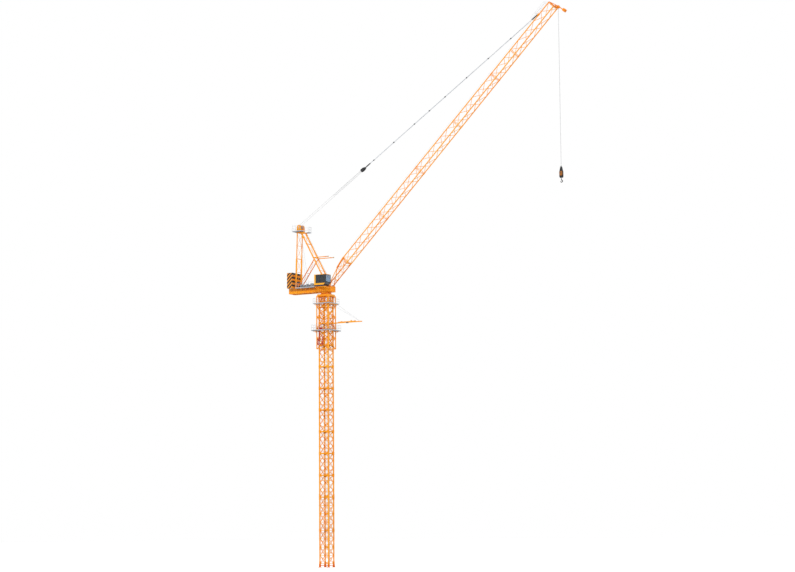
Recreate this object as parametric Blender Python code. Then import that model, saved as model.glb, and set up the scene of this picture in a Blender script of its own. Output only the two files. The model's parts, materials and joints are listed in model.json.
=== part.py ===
"""Luffing-jib tower crane, a scale model at 1:10, in metres with +Z up.

The origin is the middle of one anchor foot's sole.  The mast stands over +X +Y of
it, the jib points to +X, and the counterweight lies at -X.  Each solid is modelled
about an empty: one on the mast's axis, one on the slewing ring, one on the jib's
foot pin, one on the pendant's pin, one on the head sheaves and one on the tip sheave.
"""
import math

import bmesh
import bpy
from mathutils import Matrix, Vector

# Gaps between pieces
SEAT_GAP = 0.0003
BURIED_SHARE = 0.8
RUNNING_GAP = 0.0006
SWING_CLEARANCE = 0.006
SMOOTH_ANGLE = math.radians(35)
ROUND_SIDES = 12
ARC_STEPS = 6

# Mast
MAST_SIDE = 0.185
CHORD = 0.022
LACING = 0.0075
LACING_DEPTH = 0.009
SIDE_EDGE = 0.009
FOOT_HEIGHT = 0.066
BASE_SECTIONS = 2
BASE_SECTION = 0.606
BASE_BAYS = 4
SHAFT_SECTIONS = 9
SHAFT_SECTION = 0.4
SHAFT_BAYS = 3
FOOT_PLATE = 0.052
FOOT_PLATE_HEIGHT = 0.01
SLEEVE = 0.034
FRAME_BEAM = 0.014

# Ladder and landings inside the mast
LADDER_WIDTH = 0.045
LADDER_RAIL = 0.005
LADDER_OFFSET = 0.045
LADDER_OPENINGS = 38
LANDING_HEIGHT = 0.005
LANDING_HATCH = 0.05

# Climbing cage
CAGE_SIDE = 0.253
CAGE_POST = 0.014
CAGE_LACING = 0.008
CAGE_DEPTH = 0.008
CAGE_HEIGHT = 0.988
CAGE_BAYS = 5
LOWER_PLATFORM_SIDE = 0.406
LOWER_PLATFORM_DROP = 0.701
LOWER_RAIL_HEIGHT = 0.108
UPPER_PLATFORM_SIDE = 0.36
UPPER_PLATFORM_DROP = 0.199
UPPER_RAIL_HEIGHT = 0.1
GRATING = 0.006
RAIL = 0.004
RAIL_POSTS = 3
DOOR_POSTS = 2
LOADING_BEAM_REACH = 0.769
LOADING_BEAM_DROP = 0.565
LOADING_BEAM = 0.014
HANGER_SPREAD = 0.27
STAY = 0.005
STAY_ANCHOR_SHARE = 0.95
CYLINDER_RADIUS = 0.011
CYLINDER_ROD_RADIUS = 0.006
CYLINDER_LENGTH = 0.2
CYLINDER_ROD_LENGTH = 0.07
POWER_PACK = (0.05, 0.045, 0.055)

# Slewing support and ring
SUPPORT_HEIGHT = 0.167
SUPPORT_FLANGE = 0.03
SUPPORT_FLARE = 0.246
RING_RADIUS = 0.1
RING_HEIGHT = 0.022
RING_SIDES = 24
TURNTABLE_LENGTH = 0.3
TURNTABLE_WIDTH = 0.209
DECK_TOP = 0.12

# Counter deck, walkway and counterweight
DECK_REAR = 0.75
DECK_BEAM = 0.018
DECK_UNDERSIDE = 0.025
DECK_CROSS_BEAMS = 5
WALKWAY_WIDTH = 0.05
WALKWAY_HEIGHT = 0.006
WALKWAY_FRONT = 0.16
WALKWAY_REAR = 0.58
WEIGHT_FRONT = 0.628
WEIGHT_SLAB = 0.057
WEIGHT_WIDTH = 0.367
WEIGHT_HEIGHT = 0.297

# Winches and cabinets on the deck
WINCH_FLANGE_RADIUS = 0.036
WINCH_DRUM_RADIUS = 0.024
WINCH_WIDTH = 0.12
WINCH_FLANGE = 0.006
WINCH_SIDES = 20
HOIST_WINCH_X = -0.495
LUFFING_WINCH_X = -0.37
WINCH_AXLE_HEIGHT = 0.045
WINCH_BED = 0.01
CABINET = (0.05, 0.11, 0.085)
CABINET_X = -0.285

# A-frame
FRONT_FOOT_X = 0.055
FRONT_FOOT_HEIGHT = 0.17
FRONT_TOP_X = -0.486
FRONT_TOP_SINK = 0.005
FRONT_SPREAD = 0.165
FRONT_LEG = 0.02
REAR_FOOT_X = -0.604
REAR_TOP_X = -0.57
REAR_TOP_HEIGHT = 1.175
REAR_SPREAD = 0.18
REAR_LEG = 0.016
REAR_LEG_LOWER = 0.024
REAR_TIE_SHARE = 0.538
FRONT_TIE_SHARES = (0.513, 0.786)
TIE = 0.012
STRUT = 0.014
BOOT = 0.03
HEAD_CHEEK = 0.012
HEAD_SHEAVE_X = -0.55
HEAD_SHEAVE_RISE = 0.116
HEAD_SHEAVE_RADIUS = 0.035
HEAD_SHEAVE_WIDTH = 0.008
HEAD_SHEAVE_SIDES = 20
HEAD_PIN_RADIUS = 0.008
HEAD_PIN_HALF = 0.062
HEAD_EAR = 0.03
A_PLATFORM_LENGTH = 0.22
A_PLATFORM_WIDTH = 0.34
A_RAIL_HEIGHT = 0.112
ROPE_DOOR = 0.14
A_LADDER_WIDTH = 0.036
A_LADDER_OPENINGS = 12
A_LADDER_RAIL = 0.004
LADDER_START = 0.06

# Jib buffers
BUFFER_SPREAD = 0.197
BUFFER_RADIUS = 0.008
BUFFER_TIP_RADIUS = 0.012
BUFFER_TIP_LENGTH = 0.025

# Cab
CAB_REAR_X = -0.071
CAB_FRONT_X = 0.181
CAB_NEAR_Y = -0.31
CAB_FAR_Y = -0.13
CAB_FLOOR = 0.1
CAB_HEIGHT = 0.226
CAB_WALL = 0.006
CAB_SILL = 0.08
CAB_NOSE_SHARE = 0.3
CAB_POST = 0.016
GLASS = 0.003
CAB_ARM = 0.02

# Jib
LUFF_REST = math.radians(45)
LUFF_LOWEST = math.radians(15)
LUFF_HIGHEST = math.radians(84)
JIB_FOOT_X = 0.11
JIB_FOOT_HEIGHT = 0.145
JIB_WIDTH = 0.17
JIB_HEIGHT = 0.168
JIB_CHORD = 0.016
JIB_LACING = 0.006
JIB_DEPTH = 0.007
ROOT_LENGTH = 0.54
ROOT_KNEE_SHARE = 0.61
ROOT_KNEE_RISE = 0.133
ROOT_BEAM_SHARES = (0.25, 0.6)
STOP_RISE = 0.034
STOP_LENGTH = 0.226
MAIN_SECTIONS = 4
MAIN_SECTION = 1.098
MAIN_BAYS = 6
SHORT_SECTION = 0.556
SHORT_BAYS = 3
TIP_SECTION = 1.09
TIP_BAYS = 5
FOOT_EAR = 0.03
FOOT_PIN_RADIUS = 0.009
HEAD_REACH = 0.05
HEAD_ARM = 0.19
HEAD_ARM_LEAN = 0.03
HEAD_ARM_BOX = 0.05
TIP_SHEAVE_DROP = 0.04
TIP_SHEAVE_RADIUS = 0.03

# Pendant, luffing block and falls
LUG_SETBACK = 0.294
LUG_HEIGHT = 0.016
LUG_EAR = 0.006
PENDANT_LENGTH = 4.3
PENDANT_BAR = 0.006
PENDANT_SPREAD = 0.018
PENDANT_JOINT_SHARES = (0, 0.152, 0.28, 0.405, 0.53, 0.622, 0.71, 0.833, 0.953, 1)
LINK_LENGTH = 0.03
BLOCK_LENGTH = 0.1
BLOCK_WIDTH = 0.056
BLOCK_HEIGHT = 0.05
BLOCK_WAIST_SHARE = 0.4
ROPE_RADIUS = 0.002
ROPE_SIDES = 6
FALLS_OVERLAP = 0.06

# Hoist rope and hook
HOIST_LENGTH = 2.875
HOIST_SPREAD = 0.024
HOOK_BLOCK_HEIGHT = 0.2
HOOK_BLOCK_WIDTH = 0.07
HOOK_BLOCK_DEPTH = 0.05
HOOK_RADIUS = 0.028
HOOK_THICKNESS = 0.014
HOOK_SHANK = 0.03
HOOK_STEPS = 14
HOOK_START = math.radians(110)
HOOK_SWEEP = math.radians(290)

# Levels worked out from the sizes above
BASE_TOP = FOOT_HEIGHT + BASE_SECTIONS * BASE_SECTION
MAST_TOP = BASE_TOP + SHAFT_SECTIONS * SHAFT_SECTION
RING_LEVEL = MAST_TOP + SUPPORT_HEIGHT
HALF_MAST = MAST_SIDE / 2
JIB_LENGTH = ROOT_LENGTH + MAIN_SECTIONS * MAIN_SECTION + SHORT_SECTION + TIP_SECTION
LUG_ALONG = JIB_LENGTH - LUG_SETBACK
LOWER_PLATFORM_LEVEL = RING_LEVEL - LOWER_PLATFORM_DROP
UPPER_PLATFORM_LEVEL = RING_LEVEL - UPPER_PLATFORM_DROP
LOADING_BEAM_LEVEL = RING_LEVEL - LOADING_BEAM_DROP
FRONT_TOP_HEIGHT = REAR_TOP_HEIGHT - FRONT_TOP_SINK
HEAD_SHEAVE_HEIGHT = REAR_TOP_HEIGHT + HEAD_SHEAVE_RISE
UP = Vector((0, 0, 1))
ACROSS = Vector((0, 1, 0))
AHEAD = Vector((1, 0, 0))


def clear_scene():
    """Remove the start-up objects."""
    for thing in list(bpy.data.objects):
        bpy.data.objects.remove(thing, do_unlink=True)


def paint(name, colour, roughness, metallic=0.0):
    """Make a Principled material from a linear colour."""
    material = bpy.data.materials.new(name)
    material.use_nodes = True
    shader = material.node_tree.nodes["Principled BSDF"]
    shader.inputs["Base Color"].default_value = (*colour, 1)
    shader.inputs["Roughness"].default_value = roughness
    shader.inputs["Metallic"].default_value = metallic
    material.diffuse_color = (*colour, 1)
    return material


def axis_empty(name, place, parent=None, pitch=0.0):
    """Put an empty on an axis; pitch lifts its +X above the level."""
    empty = bpy.data.objects.new(name, None)
    empty.location = place
    empty.rotation_euler = (0, -pitch, 0)
    empty.parent = parent
    bpy.context.collection.objects.link(empty)
    return empty


def add_solid(name, shape, material, parent):
    """Turn a closed bmesh into the named object under its axis empty."""
    mesh = bpy.data.meshes.new(name)
    shape.to_mesh(mesh)
    shape.free()
    mesh.materials.append(material)
    mesh.shade_smooth()
    mesh.set_sharp_from_angle(angle=SMOOTH_ANGLE)
    solid = bpy.data.objects.new(name, mesh)
    solid.parent = parent
    bpy.context.collection.objects.link(solid)
    return solid


def box(low, high):
    """Block between two corners."""
    low, high = Vector(low), Vector(high)
    shape = bmesh.new()
    size = Matrix.Diagonal((*(high - low), 1))
    bmesh.ops.create_cube(shape, size=1, matrix=Matrix.Translation((low + high) / 2) @ size)
    return shape


def block(centre, size):
    """Block about its centre."""
    centre, half = Vector(centre), Vector(size) / 2
    return box(centre - half, centre + half)


def plane_matrix(origin, along, across):
    """Matrix that takes a drawing's (x, y) to along and across, at origin."""
    along, across = Vector(along).normalized(), Vector(across).normalized()
    normal = along.cross(across)
    matrix = Matrix((along, across, normal)).transposed().to_4x4()
    matrix.translation = origin
    return matrix


def bar(start, end, width, depth=None, level=ACROSS):
    """Square or flat bar between two points; level is the direction of its depth."""
    start, end = Vector(start), Vector(end)
    run = end - start
    depth = width if depth is None else depth
    side = run.cross(level).normalized()
    matrix = plane_matrix((start + end) / 2, run, side)
    shape = bmesh.new()
    size = Matrix.Diagonal((run.length, width, depth, 1))
    bmesh.ops.create_cube(shape, size=1, matrix=matrix @ size)
    return shape


def rod(start, end, radius, sides=ROUND_SIDES, end_radius=None):
    """Round rod or cone between two points."""
    start, end = Vector(start), Vector(end)
    run = end - start
    shape = bmesh.new()
    turn = UP.rotation_difference(run.normalized()).to_matrix().to_4x4()
    bmesh.ops.create_cone(shape, cap_ends=True, segments=sides, radius1=radius,
                          radius2=radius if end_radius is None else end_radius, depth=run.length,
                          matrix=Matrix.Translation((start + end) / 2) @ turn)
    return shape


def pierced_plate(outline, holes, thickness, place):
    """Flat plate with holes, drawn in a plane and extruded both ways from it."""
    shape = bmesh.new()
    edges = []
    for loop in [outline, *holes]:
        corners = [shape.verts.new((point[0], point[1], -thickness / 2)) for point in loop]
        edges += [shape.edges.new(pair) for pair in zip(corners, corners[1:] + corners[:1])]
    bmesh.ops.triangle_fill(shape, use_beauty=True, edges=edges)
    grown = bmesh.ops.extrude_face_region(shape, geom=list(shape.faces))
    lifted = [item for item in grown["geom"] if isinstance(item, bmesh.types.BMVert)]
    bmesh.ops.translate(shape, verts=lifted, vec=(0, 0, thickness))
    shape.transform(place)
    bmesh.ops.recalc_face_normals(shape, faces=list(shape.faces))
    if shape.calc_volume(signed=True) < 0:
        bmesh.ops.reverse_faces(shape, faces=list(shape.faces))
    return shape


def temporary_object(shape):
    """Object that lives only while a union is worked out."""
    mesh = bpy.data.meshes.new("union_piece")
    shape.to_mesh(mesh)
    shape.free()
    thing = bpy.data.objects.new("union_piece", mesh)
    bpy.context.collection.objects.link(thing)
    return thing


def fuse(shapes):
    """Exact union of closed shapes that overlap or touch."""
    first, *others = shapes
    if not others:
        return first
    rest = bmesh.new()
    for other in others:
        piece = bpy.data.meshes.new("union_operand")
        other.to_mesh(piece)
        other.free()
        rest.from_mesh(piece)
        bpy.data.meshes.remove(piece)
    body, operand = temporary_object(first), temporary_object(rest)
    union = body.modifiers.new("union", "BOOLEAN")
    union.operation = "UNION"
    union.solver = "EXACT"
    union.use_self = True
    union.object = operand
    bpy.context.view_layer.update()
    result = body.evaluated_get(bpy.context.evaluated_depsgraph_get()).to_mesh()
    fused = bmesh.new()
    fused.from_mesh(result)
    for thing in (body, operand):
        bpy.data.objects.remove(thing, do_unlink=True)
    return fused


def rectangle(left, right, bottom, top):
    """Corners of a rectangle, anticlockwise."""
    return [Vector((left, bottom)), Vector((right, bottom)), Vector((right, top)), Vector((left, top))]


def inset(corners, margins):
    """Move each edge of a convex anticlockwise outline inwards by its own margin."""
    lines = []
    for start, end, margin in zip(corners, corners[1:] + corners[:1], margins):
        along = (end - start).normalized()
        lines.append((start + Vector((-along.y, along.x)) * margin, along))
    moved = []
    for (point, along), (other, way) in zip(lines[-1:] + lines[:-1], lines):
        moved.append(point + along * ((other - point).cross(way) / along.cross(way)))
    return moved


def triangle_hole(corners, margins):
    """Inset triangle, turned anticlockwise first; margins follow its edges."""
    a, b, c = corners
    if (b - a).cross(c - a) < 0:
        a, b, c = a, c, b
        margins = margins[::-1]
    return inset([a, b, c], margins)


def zigzag_holes(start, length, half_width, bays, edge, lace, first=1):
    """Triangular holes of a zigzag lattice between two chords."""
    step = length / bays
    points = []
    for number in range(bays + 1):
        side = first if number % 2 == 0 else -first
        points.append(Vector((start + number * step, side * half_width)))
    holes = []
    opening = Vector((start, -first * half_width))
    holes.append(triangle_hole([opening, points[0], points[1]], [lace / 2, lace / 2, edge / 2]))
    for a, b, c in zip(points, points[1:], points[2:]):
        holes.append(triangle_hole([a, b, c], [lace / 2, lace / 2, edge / 2]))
    closing = Vector((start + length, -points[-1].y))
    holes.append(triangle_hole([points[-2], points[-1], closing], [lace / 2, lace / 2, edge / 2]))
    return holes


def strutted_holes(start, length, half_width, bays, edge, lace):
    """Two triangular holes for each bay that has a strut and one diagonal."""
    step = length / bays
    holes = []
    for number in range(bays):
        left = start + number * step
        a, b, c, d = rectangle(left, left + step, -half_width, half_width)
        if number % 2 == 0:
            holes.append(inset([a, b, c], [edge / 2, lace / 2, lace / 2]))
            holes.append(inset([a, c, d], [lace / 2, edge / 2, lace / 2]))
        else:
            holes.append(inset([a, b, d], [edge / 2, lace / 2, lace / 2]))
            holes.append(inset([b, c, d], [lace / 2, edge / 2, lace / 2]))
    return holes


def upright_side(direction, offset, low, width, length, holes, depth, chord=None):
    """Flat lattice side that stands on the level low, with its chords if it has any.

    direction is where the side faces, offset its distance from the mast's axis.
    """
    facing = Vector(direction)
    across = UP.cross(facing)
    place = plane_matrix(facing * offset + UP * low, UP, across)
    plate = pierced_plate(rectangle(0, length, -width / 2, width / 2), holes, depth, place)
    if chord is None:
        return plate
    posts = []
    for side in (-1, 1):
        foot = facing * offset + across * (side * width / 2) + UP * low
        posts.append(bar(foot, foot + UP * length, chord))
    return fuse([plate, *posts])


def mast_sides(label, low, section, sections, holes_of, colour, parent):
    """Four sides of a run of mast sections: two with the chords, two between them."""
    length = section * sections - SEAT_GAP
    clear_width = MAST_SIDE - CHORD - 2 * SEAT_GAP
    for name, direction in (("near", -ACROSS), ("far", ACROSS)):
        holes = holes_of(HALF_MAST, CHORD * BURIED_SHARE)
        shape = upright_side(direction, HALF_MAST, low, MAST_SIDE, length, holes, LACING_DEPTH, CHORD)
        add_solid(f"{label}_{name}", shape, colour, parent)
    for name, direction in (("left", -AHEAD), ("right", AHEAD)):
        holes = holes_of(clear_width / 2 - SIDE_EDGE / 2, SIDE_EDGE)
        shape = upright_side(direction, HALF_MAST, low, clear_width, length, holes, LACING_DEPTH)
        add_solid(f"{label}_{name}", shape, colour, parent)


def base_holes(half_width, edge):
    """Struts and diagonals of the tall bottom sections."""
    holes = []
    for number in range(BASE_SECTIONS):
        holes += strutted_holes(number * BASE_SECTION, BASE_SECTION, half_width, BASE_BAYS, edge, LACING)
    return holes


def shaft_holes(half_width, edge):
    """Zigzag bracing of the upper sections, with a strut at each joint."""
    holes = []
    for number in range(SHAFT_SECTIONS):
        first = 1 if number % 2 == 0 else -1
        holes += zigzag_holes(number * SHAFT_SECTION, SHAFT_SECTION, half_width, SHAFT_BAYS, edge,
                              LACING, first)
    return holes


def half_round(x, y, radius):
    """Points over the upper half of a circle, from its right to its left."""
    turns = [math.pi * number / ARC_STEPS for number in range(ARC_STEPS + 1)]
    return [Vector((x + radius * math.cos(turn), y + radius * math.sin(turn))) for turn in turns]


def square_ring(half_out, half_in, low, height):
    """Square frame about the axis."""
    outline = rectangle(-half_out, half_out, -half_out, half_out)
    hole = rectangle(-half_in, half_in, -half_in, half_in)
    return pierced_plate(outline, [hole], height, Matrix.Translation((0, 0, low + height / 2)))


def base_frame(colour, parent):
    """Four soles with sleeves, joined by a square frame."""
    pieces = [square_ring(HALF_MAST + FRAME_BEAM / 2, HALF_MAST - FRAME_BEAM / 2,
                          FOOT_HEIGHT / 2, FRAME_BEAM)]
    for side_x in (-1, 1):
        for side_y in (-1, 1):
            x, y = side_x * HALF_MAST, side_y * HALF_MAST
            pieces.append(box((x - FOOT_PLATE / 2, y - FOOT_PLATE / 2, 0),
                              (x + FOOT_PLATE / 2, y + FOOT_PLATE / 2, FOOT_PLATE_HEIGHT)))
            pieces.append(box((x - SLEEVE / 2, y - SLEEVE / 2, FOOT_PLATE_HEIGHT / 2),
                              (x + SLEEVE / 2, y + SLEEVE / 2, FOOT_HEIGHT - SEAT_GAP)))
    add_solid("base_frame", fuse(pieces), colour, parent)


def ladder_plate(start, end, across, width, rail, openings):
    """Ladder as one pierced plate between two points on its middle line."""
    start, end = Vector(start), Vector(end)
    run = end - start
    step = (run.length - rail) / openings
    holes = []
    for number in range(openings):
        low = rail + number * step
        holes.append(rectangle(low, low + step - rail, rail - width / 2, width / 2 - rail))
    place = plane_matrix(start, run, across)
    return pierced_plate(rectangle(0, run.length, -width / 2, width / 2), holes, rail, place)


def mast_ladder(colour, parent):
    """Ladder from the foot frame to the mast's top, with a landing at each joint."""
    levels = [FOOT_HEIGHT + BASE_SECTION * number for number in range(1, BASE_SECTIONS + 1)]
    levels += [BASE_TOP + SHAFT_SECTION * number for number in range(1, SHAFT_SECTIONS)]
    foot = (LADDER_OFFSET, 0, FOOT_HEIGHT)
    top = (LADDER_OFFSET, 0, MAST_TOP - LANDING_HEIGHT)
    pieces = [ladder_plate(foot, top, ACROSS, LADDER_WIDTH, LADDER_RAIL, LADDER_OPENINGS)]
    reach = HALF_MAST - LACING_DEPTH / 2 - SEAT_GAP
    corner = MAST_SIDE - CHORD - reach - SEAT_GAP
    outline = [Vector(point) for point in (
        (-corner, -reach), (corner, -reach), (reach, -corner), (reach, corner),
        (corner, reach), (-corner, reach), (-reach, corner), (-reach, -corner))]
    hatch_edge = LADDER_OFFSET - LADDER_RAIL
    hatch = rectangle(hatch_edge - LANDING_HATCH, hatch_edge, -LANDING_HATCH / 2, LANDING_HATCH / 2)
    for level in levels:
        pieces.append(pierced_plate(outline, [hatch], LANDING_HEIGHT, Matrix.Translation((0, 0, level))))
    add_solid("mast_ladder", fuse(pieces), colour, parent)


def climbing_cage(colour, parent):
    """Four lattice sides round the mast, hung from the slewing support."""
    low = RING_LEVEL - SUPPORT_FLANGE - RING_HEIGHT - CAGE_HEIGHT
    width = CAGE_SIDE - CAGE_POST - 2 * SEAT_GAP
    length = CAGE_HEIGHT - SEAT_GAP
    for name, direction in (("near", -ACROSS), ("far", ACROSS)):
        holes = zigzag_holes(0, length, CAGE_SIDE / 2, CAGE_BAYS, CAGE_POST * BURIED_SHARE, CAGE_LACING)
        shape = upright_side(direction, CAGE_SIDE / 2, low, CAGE_SIDE, length, holes, CAGE_DEPTH, CAGE_POST)
        add_solid(f"cage_{name}", shape, colour, parent)
    for name, direction in (("left", -AHEAD), ("right", AHEAD)):
        half = width / 2 - CAGE_LACING / 2
        holes = zigzag_holes(0, length, half, CAGE_BAYS, CAGE_LACING, CAGE_LACING)
        shape = upright_side(direction, CAGE_SIDE / 2, low, width, length, holes, CAGE_DEPTH)
        add_solid(f"cage_{name}", shape, colour, parent)


def fence(start, end, low, height, posts):
    """Railing as one pierced plate: posts, a top rail and a knee rail."""
    start, end = Vector(start), Vector(end)
    run = end - start
    middle = height / 2
    holes = []
    step = (run.length - RAIL) / (posts - 1)
    for number in range(posts - 1):
        left = RAIL + number * step
        right = left + step - RAIL
        holes.append(rectangle(left, right, RAIL, middle - RAIL / 2))
        holes.append(rectangle(left, right, middle + RAIL / 2, height - RAIL))
    place = plane_matrix(start + UP * low, run, UP)
    return pierced_plate(rectangle(0, run.length, 0, height), holes, RAIL, place)


def fenced_platform(name, side, level, rail_height, colour, parent):
    """Grating round the cage with a railing on its four sides."""
    half = side / 2
    inner = CAGE_SIDE / 2 + CAGE_POST / 2 + SEAT_GAP
    pieces = [square_ring(half, inner, level, GRATING)]
    reach = half - RAIL
    low = level + GRATING / 2
    sides = ((AHEAD, half - RAIL / 4, rail_height), (ACROSS, reach, rail_height - RAIL / 4))
    for facing, run, height in sides:
        across = UP.cross(facing)
        for side in (-1, 1):
            middle = facing * (side * reach)
            pieces.append(fence(middle - across * run, middle + across * run, low, height, RAIL_POSTS))
    add_solid(name, fuse(pieces), colour, parent)


def loading_beam(colour, parent):
    """Beam on the cage's front with two stays up to a hanger under the upper platform."""
    wall = CAGE_SIDE / 2 + CAGE_POST / 2 + SEAT_GAP
    pad = (wall + LOADING_BEAM / 2, 0, LOADING_BEAM_LEVEL)
    pieces = [block(pad, (LOADING_BEAM, CAGE_SIDE, LOADING_BEAM)),
              bar((wall, 0, LOADING_BEAM_LEVEL), (LOADING_BEAM_REACH, 0, LOADING_BEAM_LEVEL), LOADING_BEAM)]
    hanger_x = UPPER_PLATFORM_SIDE / 2 - LOADING_BEAM
    hanger_z = UPPER_PLATFORM_LEVEL - SEAT_GAP - LOADING_BEAM / 2
    pieces.append(block((hanger_x, 0, hanger_z), (LOADING_BEAM, HANGER_SPREAD, LOADING_BEAM)))
    anchor = Vector((LOADING_BEAM_REACH * STAY_ANCHOR_SHARE, 0, LOADING_BEAM_LEVEL))
    for side in (-1, 1):
        pieces.append(bar(anchor, (hanger_x, side * (HANGER_SPREAD - LOADING_BEAM) / 2, hanger_z), STAY))
    add_solid("loading_beam", fuse(pieces), colour, parent)


def hydraulics(colour, parent):
    """Climbing cylinder on the cage's near side and its power pack on the platform."""
    wall = -(CAGE_SIDE / 2 + CAGE_POST / 2 + SEAT_GAP)
    x = -CAGE_SIDE / 4
    y = wall - CYLINDER_RADIUS
    top = LOWER_PLATFORM_LEVEL - SEAT_GAP
    low = top - CYLINDER_LENGTH
    pieces = [rod((x, y, low), (x, y, top), CYLINDER_RADIUS),
              rod((x, y, low - CYLINDER_ROD_LENGTH), (x, y, top - CYLINDER_LENGTH / 2), CYLINDER_ROD_RADIUS)]
    add_solid("climbing_cylinder", fuse(pieces), colour, parent)
    length, width, height = POWER_PACK
    low = LOWER_PLATFORM_LEVEL + GRATING + SEAT_GAP
    near = wall - width
    pack = box((-length, near, low), (0, wall, low + height))
    bmesh.ops.bevel(pack, geom=list(pack.edges), offset=LADDER_RAIL, segments=1, affect="EDGES")
    add_solid("power_pack", pack, colour, parent)


def slewing_support(colour, parent):
    """Box on the mast's top that flares to the cage's flange and carries the ring."""
    low = MAST_TOP + SEAT_GAP
    flange = RING_LEVEL - RING_HEIGHT - SUPPORT_FLANGE
    half_low = MAST_SIDE / 2 + CHORD / 2
    half_high = SUPPORT_FLARE / 2
    body = box((-half_low, -half_low, low), (half_low, half_low, flange + SUPPORT_FLANGE / 2))
    plate = box((-half_high, -half_high, flange), (half_high, half_high, flange + SUPPORT_FLANGE))
    ring = rod((0, 0, flange), (0, 0, RING_LEVEL), RING_RADIUS, RING_SIDES)
    add_solid("slewing_support", fuse([body, plate, ring]), colour, parent)


def turntable(colour, parent):
    """Rotating frame: upper ring, box, jib ears, A-frame shoes and cab arms."""
    half = TURNTABLE_LENGTH / 2
    wide = TURNTABLE_WIDTH / 2
    pieces = [rod((0, 0, RUNNING_GAP), (0, 0, RING_HEIGHT + RUNNING_GAP), RING_RADIUS, RING_SIDES),
              box((-half, -wide, RING_HEIGHT), (half, wide, DECK_TOP))]
    ear_y = JIB_WIDTH / 2
    for side in (-1, 1):
        for shift in (-1, 1):
            y = side * ear_y + shift * (JIB_CHORD / 2 + RUNNING_GAP + HEAD_CHEEK / 2)
            pieces.append(ear_plate(JIB_FOOT_X, y, JIB_FOOT_HEIGHT))
        pieces.append(rod((JIB_FOOT_X, side * ear_y - JIB_CHORD, JIB_FOOT_HEIGHT),
                          (JIB_FOOT_X, side * ear_y + JIB_CHORD, JIB_FOOT_HEIGHT), FOOT_PIN_RADIUS))
        shoe_y = side * FRONT_SPREAD / 2
        pieces.append(box((FRONT_FOOT_X - BOOT, shoe_y - FRONT_LEG / 2, DECK_TOP - RING_HEIGHT),
                          (FRONT_FOOT_X + FRONT_LEG / 2, shoe_y + FRONT_LEG / 2,
                           FRONT_FOOT_HEIGHT - FRONT_LEG / 2)))
    for x in (CAB_REAR_X + CAB_ARM, CAB_FRONT_X - 2 * CAB_ARM):
        top = CAB_FLOOR - SEAT_GAP
        pieces.append(box((x, CAB_NEAR_Y, top - CAB_ARM), (x + CAB_ARM, -wide + CAB_ARM, top)))
    add_solid("turntable", fuse(pieces), colour, parent)


def ear_plate(x, y, height):
    """Lug that rises from the turntable to a pin, with a round head."""
    outline = [(x - FOOT_EAR, DECK_TOP - RING_HEIGHT), (x + FOOT_EAR, DECK_TOP - RING_HEIGHT)]
    outline += half_round(x, height, FOOT_EAR / 2)
    place = plane_matrix((0, y, 0), AHEAD, UP)
    return pierced_plate(outline, [], HEAD_CHEEK, place)


def counter_deck(colour, parent):
    """Two long beams with cross beams, bolted to the turntable's rear."""
    front = -(TURNTABLE_LENGTH / 2 + SEAT_GAP)
    rear = -DECK_REAR
    wide = TURNTABLE_WIDTH / 2
    outline = rectangle(rear, front, -wide, wide)
    step = (front - rear - DECK_BEAM) / DECK_CROSS_BEAMS
    holes = []
    for number in range(DECK_CROSS_BEAMS):
        left = rear + DECK_BEAM + number * step
        holes.append(rectangle(left, left + step - DECK_BEAM, -wide + DECK_BEAM, wide - DECK_BEAM))
    height = DECK_TOP - DECK_UNDERSIDE
    frame = pierced_plate(outline, holes, height, Matrix.Translation((0, 0, DECK_UNDERSIDE + height / 2)))
    add_solid("counter_deck", frame, colour, parent)


def deck_walkway(colour, parent):
    """Grating strip along the deck's near edge with a railing."""
    inner = -TURNTABLE_WIDTH / 2 - SEAT_GAP
    near = inner - WALKWAY_WIDTH
    low = DECK_TOP - WALKWAY_HEIGHT
    strip = box((-WALKWAY_REAR, near, low), (-WALKWAY_FRONT, inner, low + WALKWAY_HEIGHT))
    y = near + RAIL / 2
    rail = fence((-WALKWAY_REAR, y, 0), (-WALKWAY_FRONT, y, 0), low + WALKWAY_HEIGHT / 2,
                 UPPER_RAIL_HEIGHT, RAIL_POSTS)
    add_solid("deck_walkway", fuse([strip, rail]), colour, parent)


def counterweight(colour, parent):
    """Two slabs that stand on the deck's beams, one behind the other."""
    for number, name in enumerate(("counterweight_front", "counterweight_rear")):
        front = -WEIGHT_FRONT - number * (WEIGHT_SLAB + SEAT_GAP)
        rear = front - WEIGHT_SLAB
        low = DECK_TOP + SEAT_GAP
        slab = box((rear, -WEIGHT_WIDTH / 2, low), (front, WEIGHT_WIDTH / 2, low + WEIGHT_HEIGHT))
        edges = [edge for edge in slab.edges if abs(edge.verts[0].co.y - edge.verts[1].co.y) < SEAT_GAP]
        bmesh.ops.bevel(slab, geom=edges, offset=RAIL, segments=1, affect="EDGES")
        add_solid(name, slab, colour, parent)


def winch(name, x, colour, parent):
    """Rope drum between two bearing stands on a bed plate."""
    low = DECK_TOP + SEAT_GAP
    axle = low + WINCH_AXLE_HEIGHT
    half = WINCH_WIDTH / 2
    pieces = [rod((x, -half, axle), (x, half, axle), WINCH_DRUM_RADIUS, WINCH_SIDES)]
    for side in (-1, 1):
        pieces.append(rod((x, side * half, axle), (x, side * (half - WINCH_FLANGE), axle),
                          WINCH_FLANGE_RADIUS, WINCH_SIDES))
        stand = side * (half + WINCH_FLANGE)
        pieces.append(box((x - WINCH_DRUM_RADIUS, min(side * half, stand) - WINCH_FLANGE / 2, low),
                          (x + WINCH_DRUM_RADIUS, max(side * half, stand), axle + WINCH_DRUM_RADIUS / 2)))
    bed_half = TURNTABLE_WIDTH / 2 - DECK_BEAM / 2
    pieces.append(box((x - WINCH_FLANGE_RADIUS, -bed_half, low), (x + WINCH_FLANGE_RADIUS, bed_half,
                                                                  low + WINCH_BED / 2)))
    add_solid(name, fuse(pieces), colour, parent)


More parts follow.
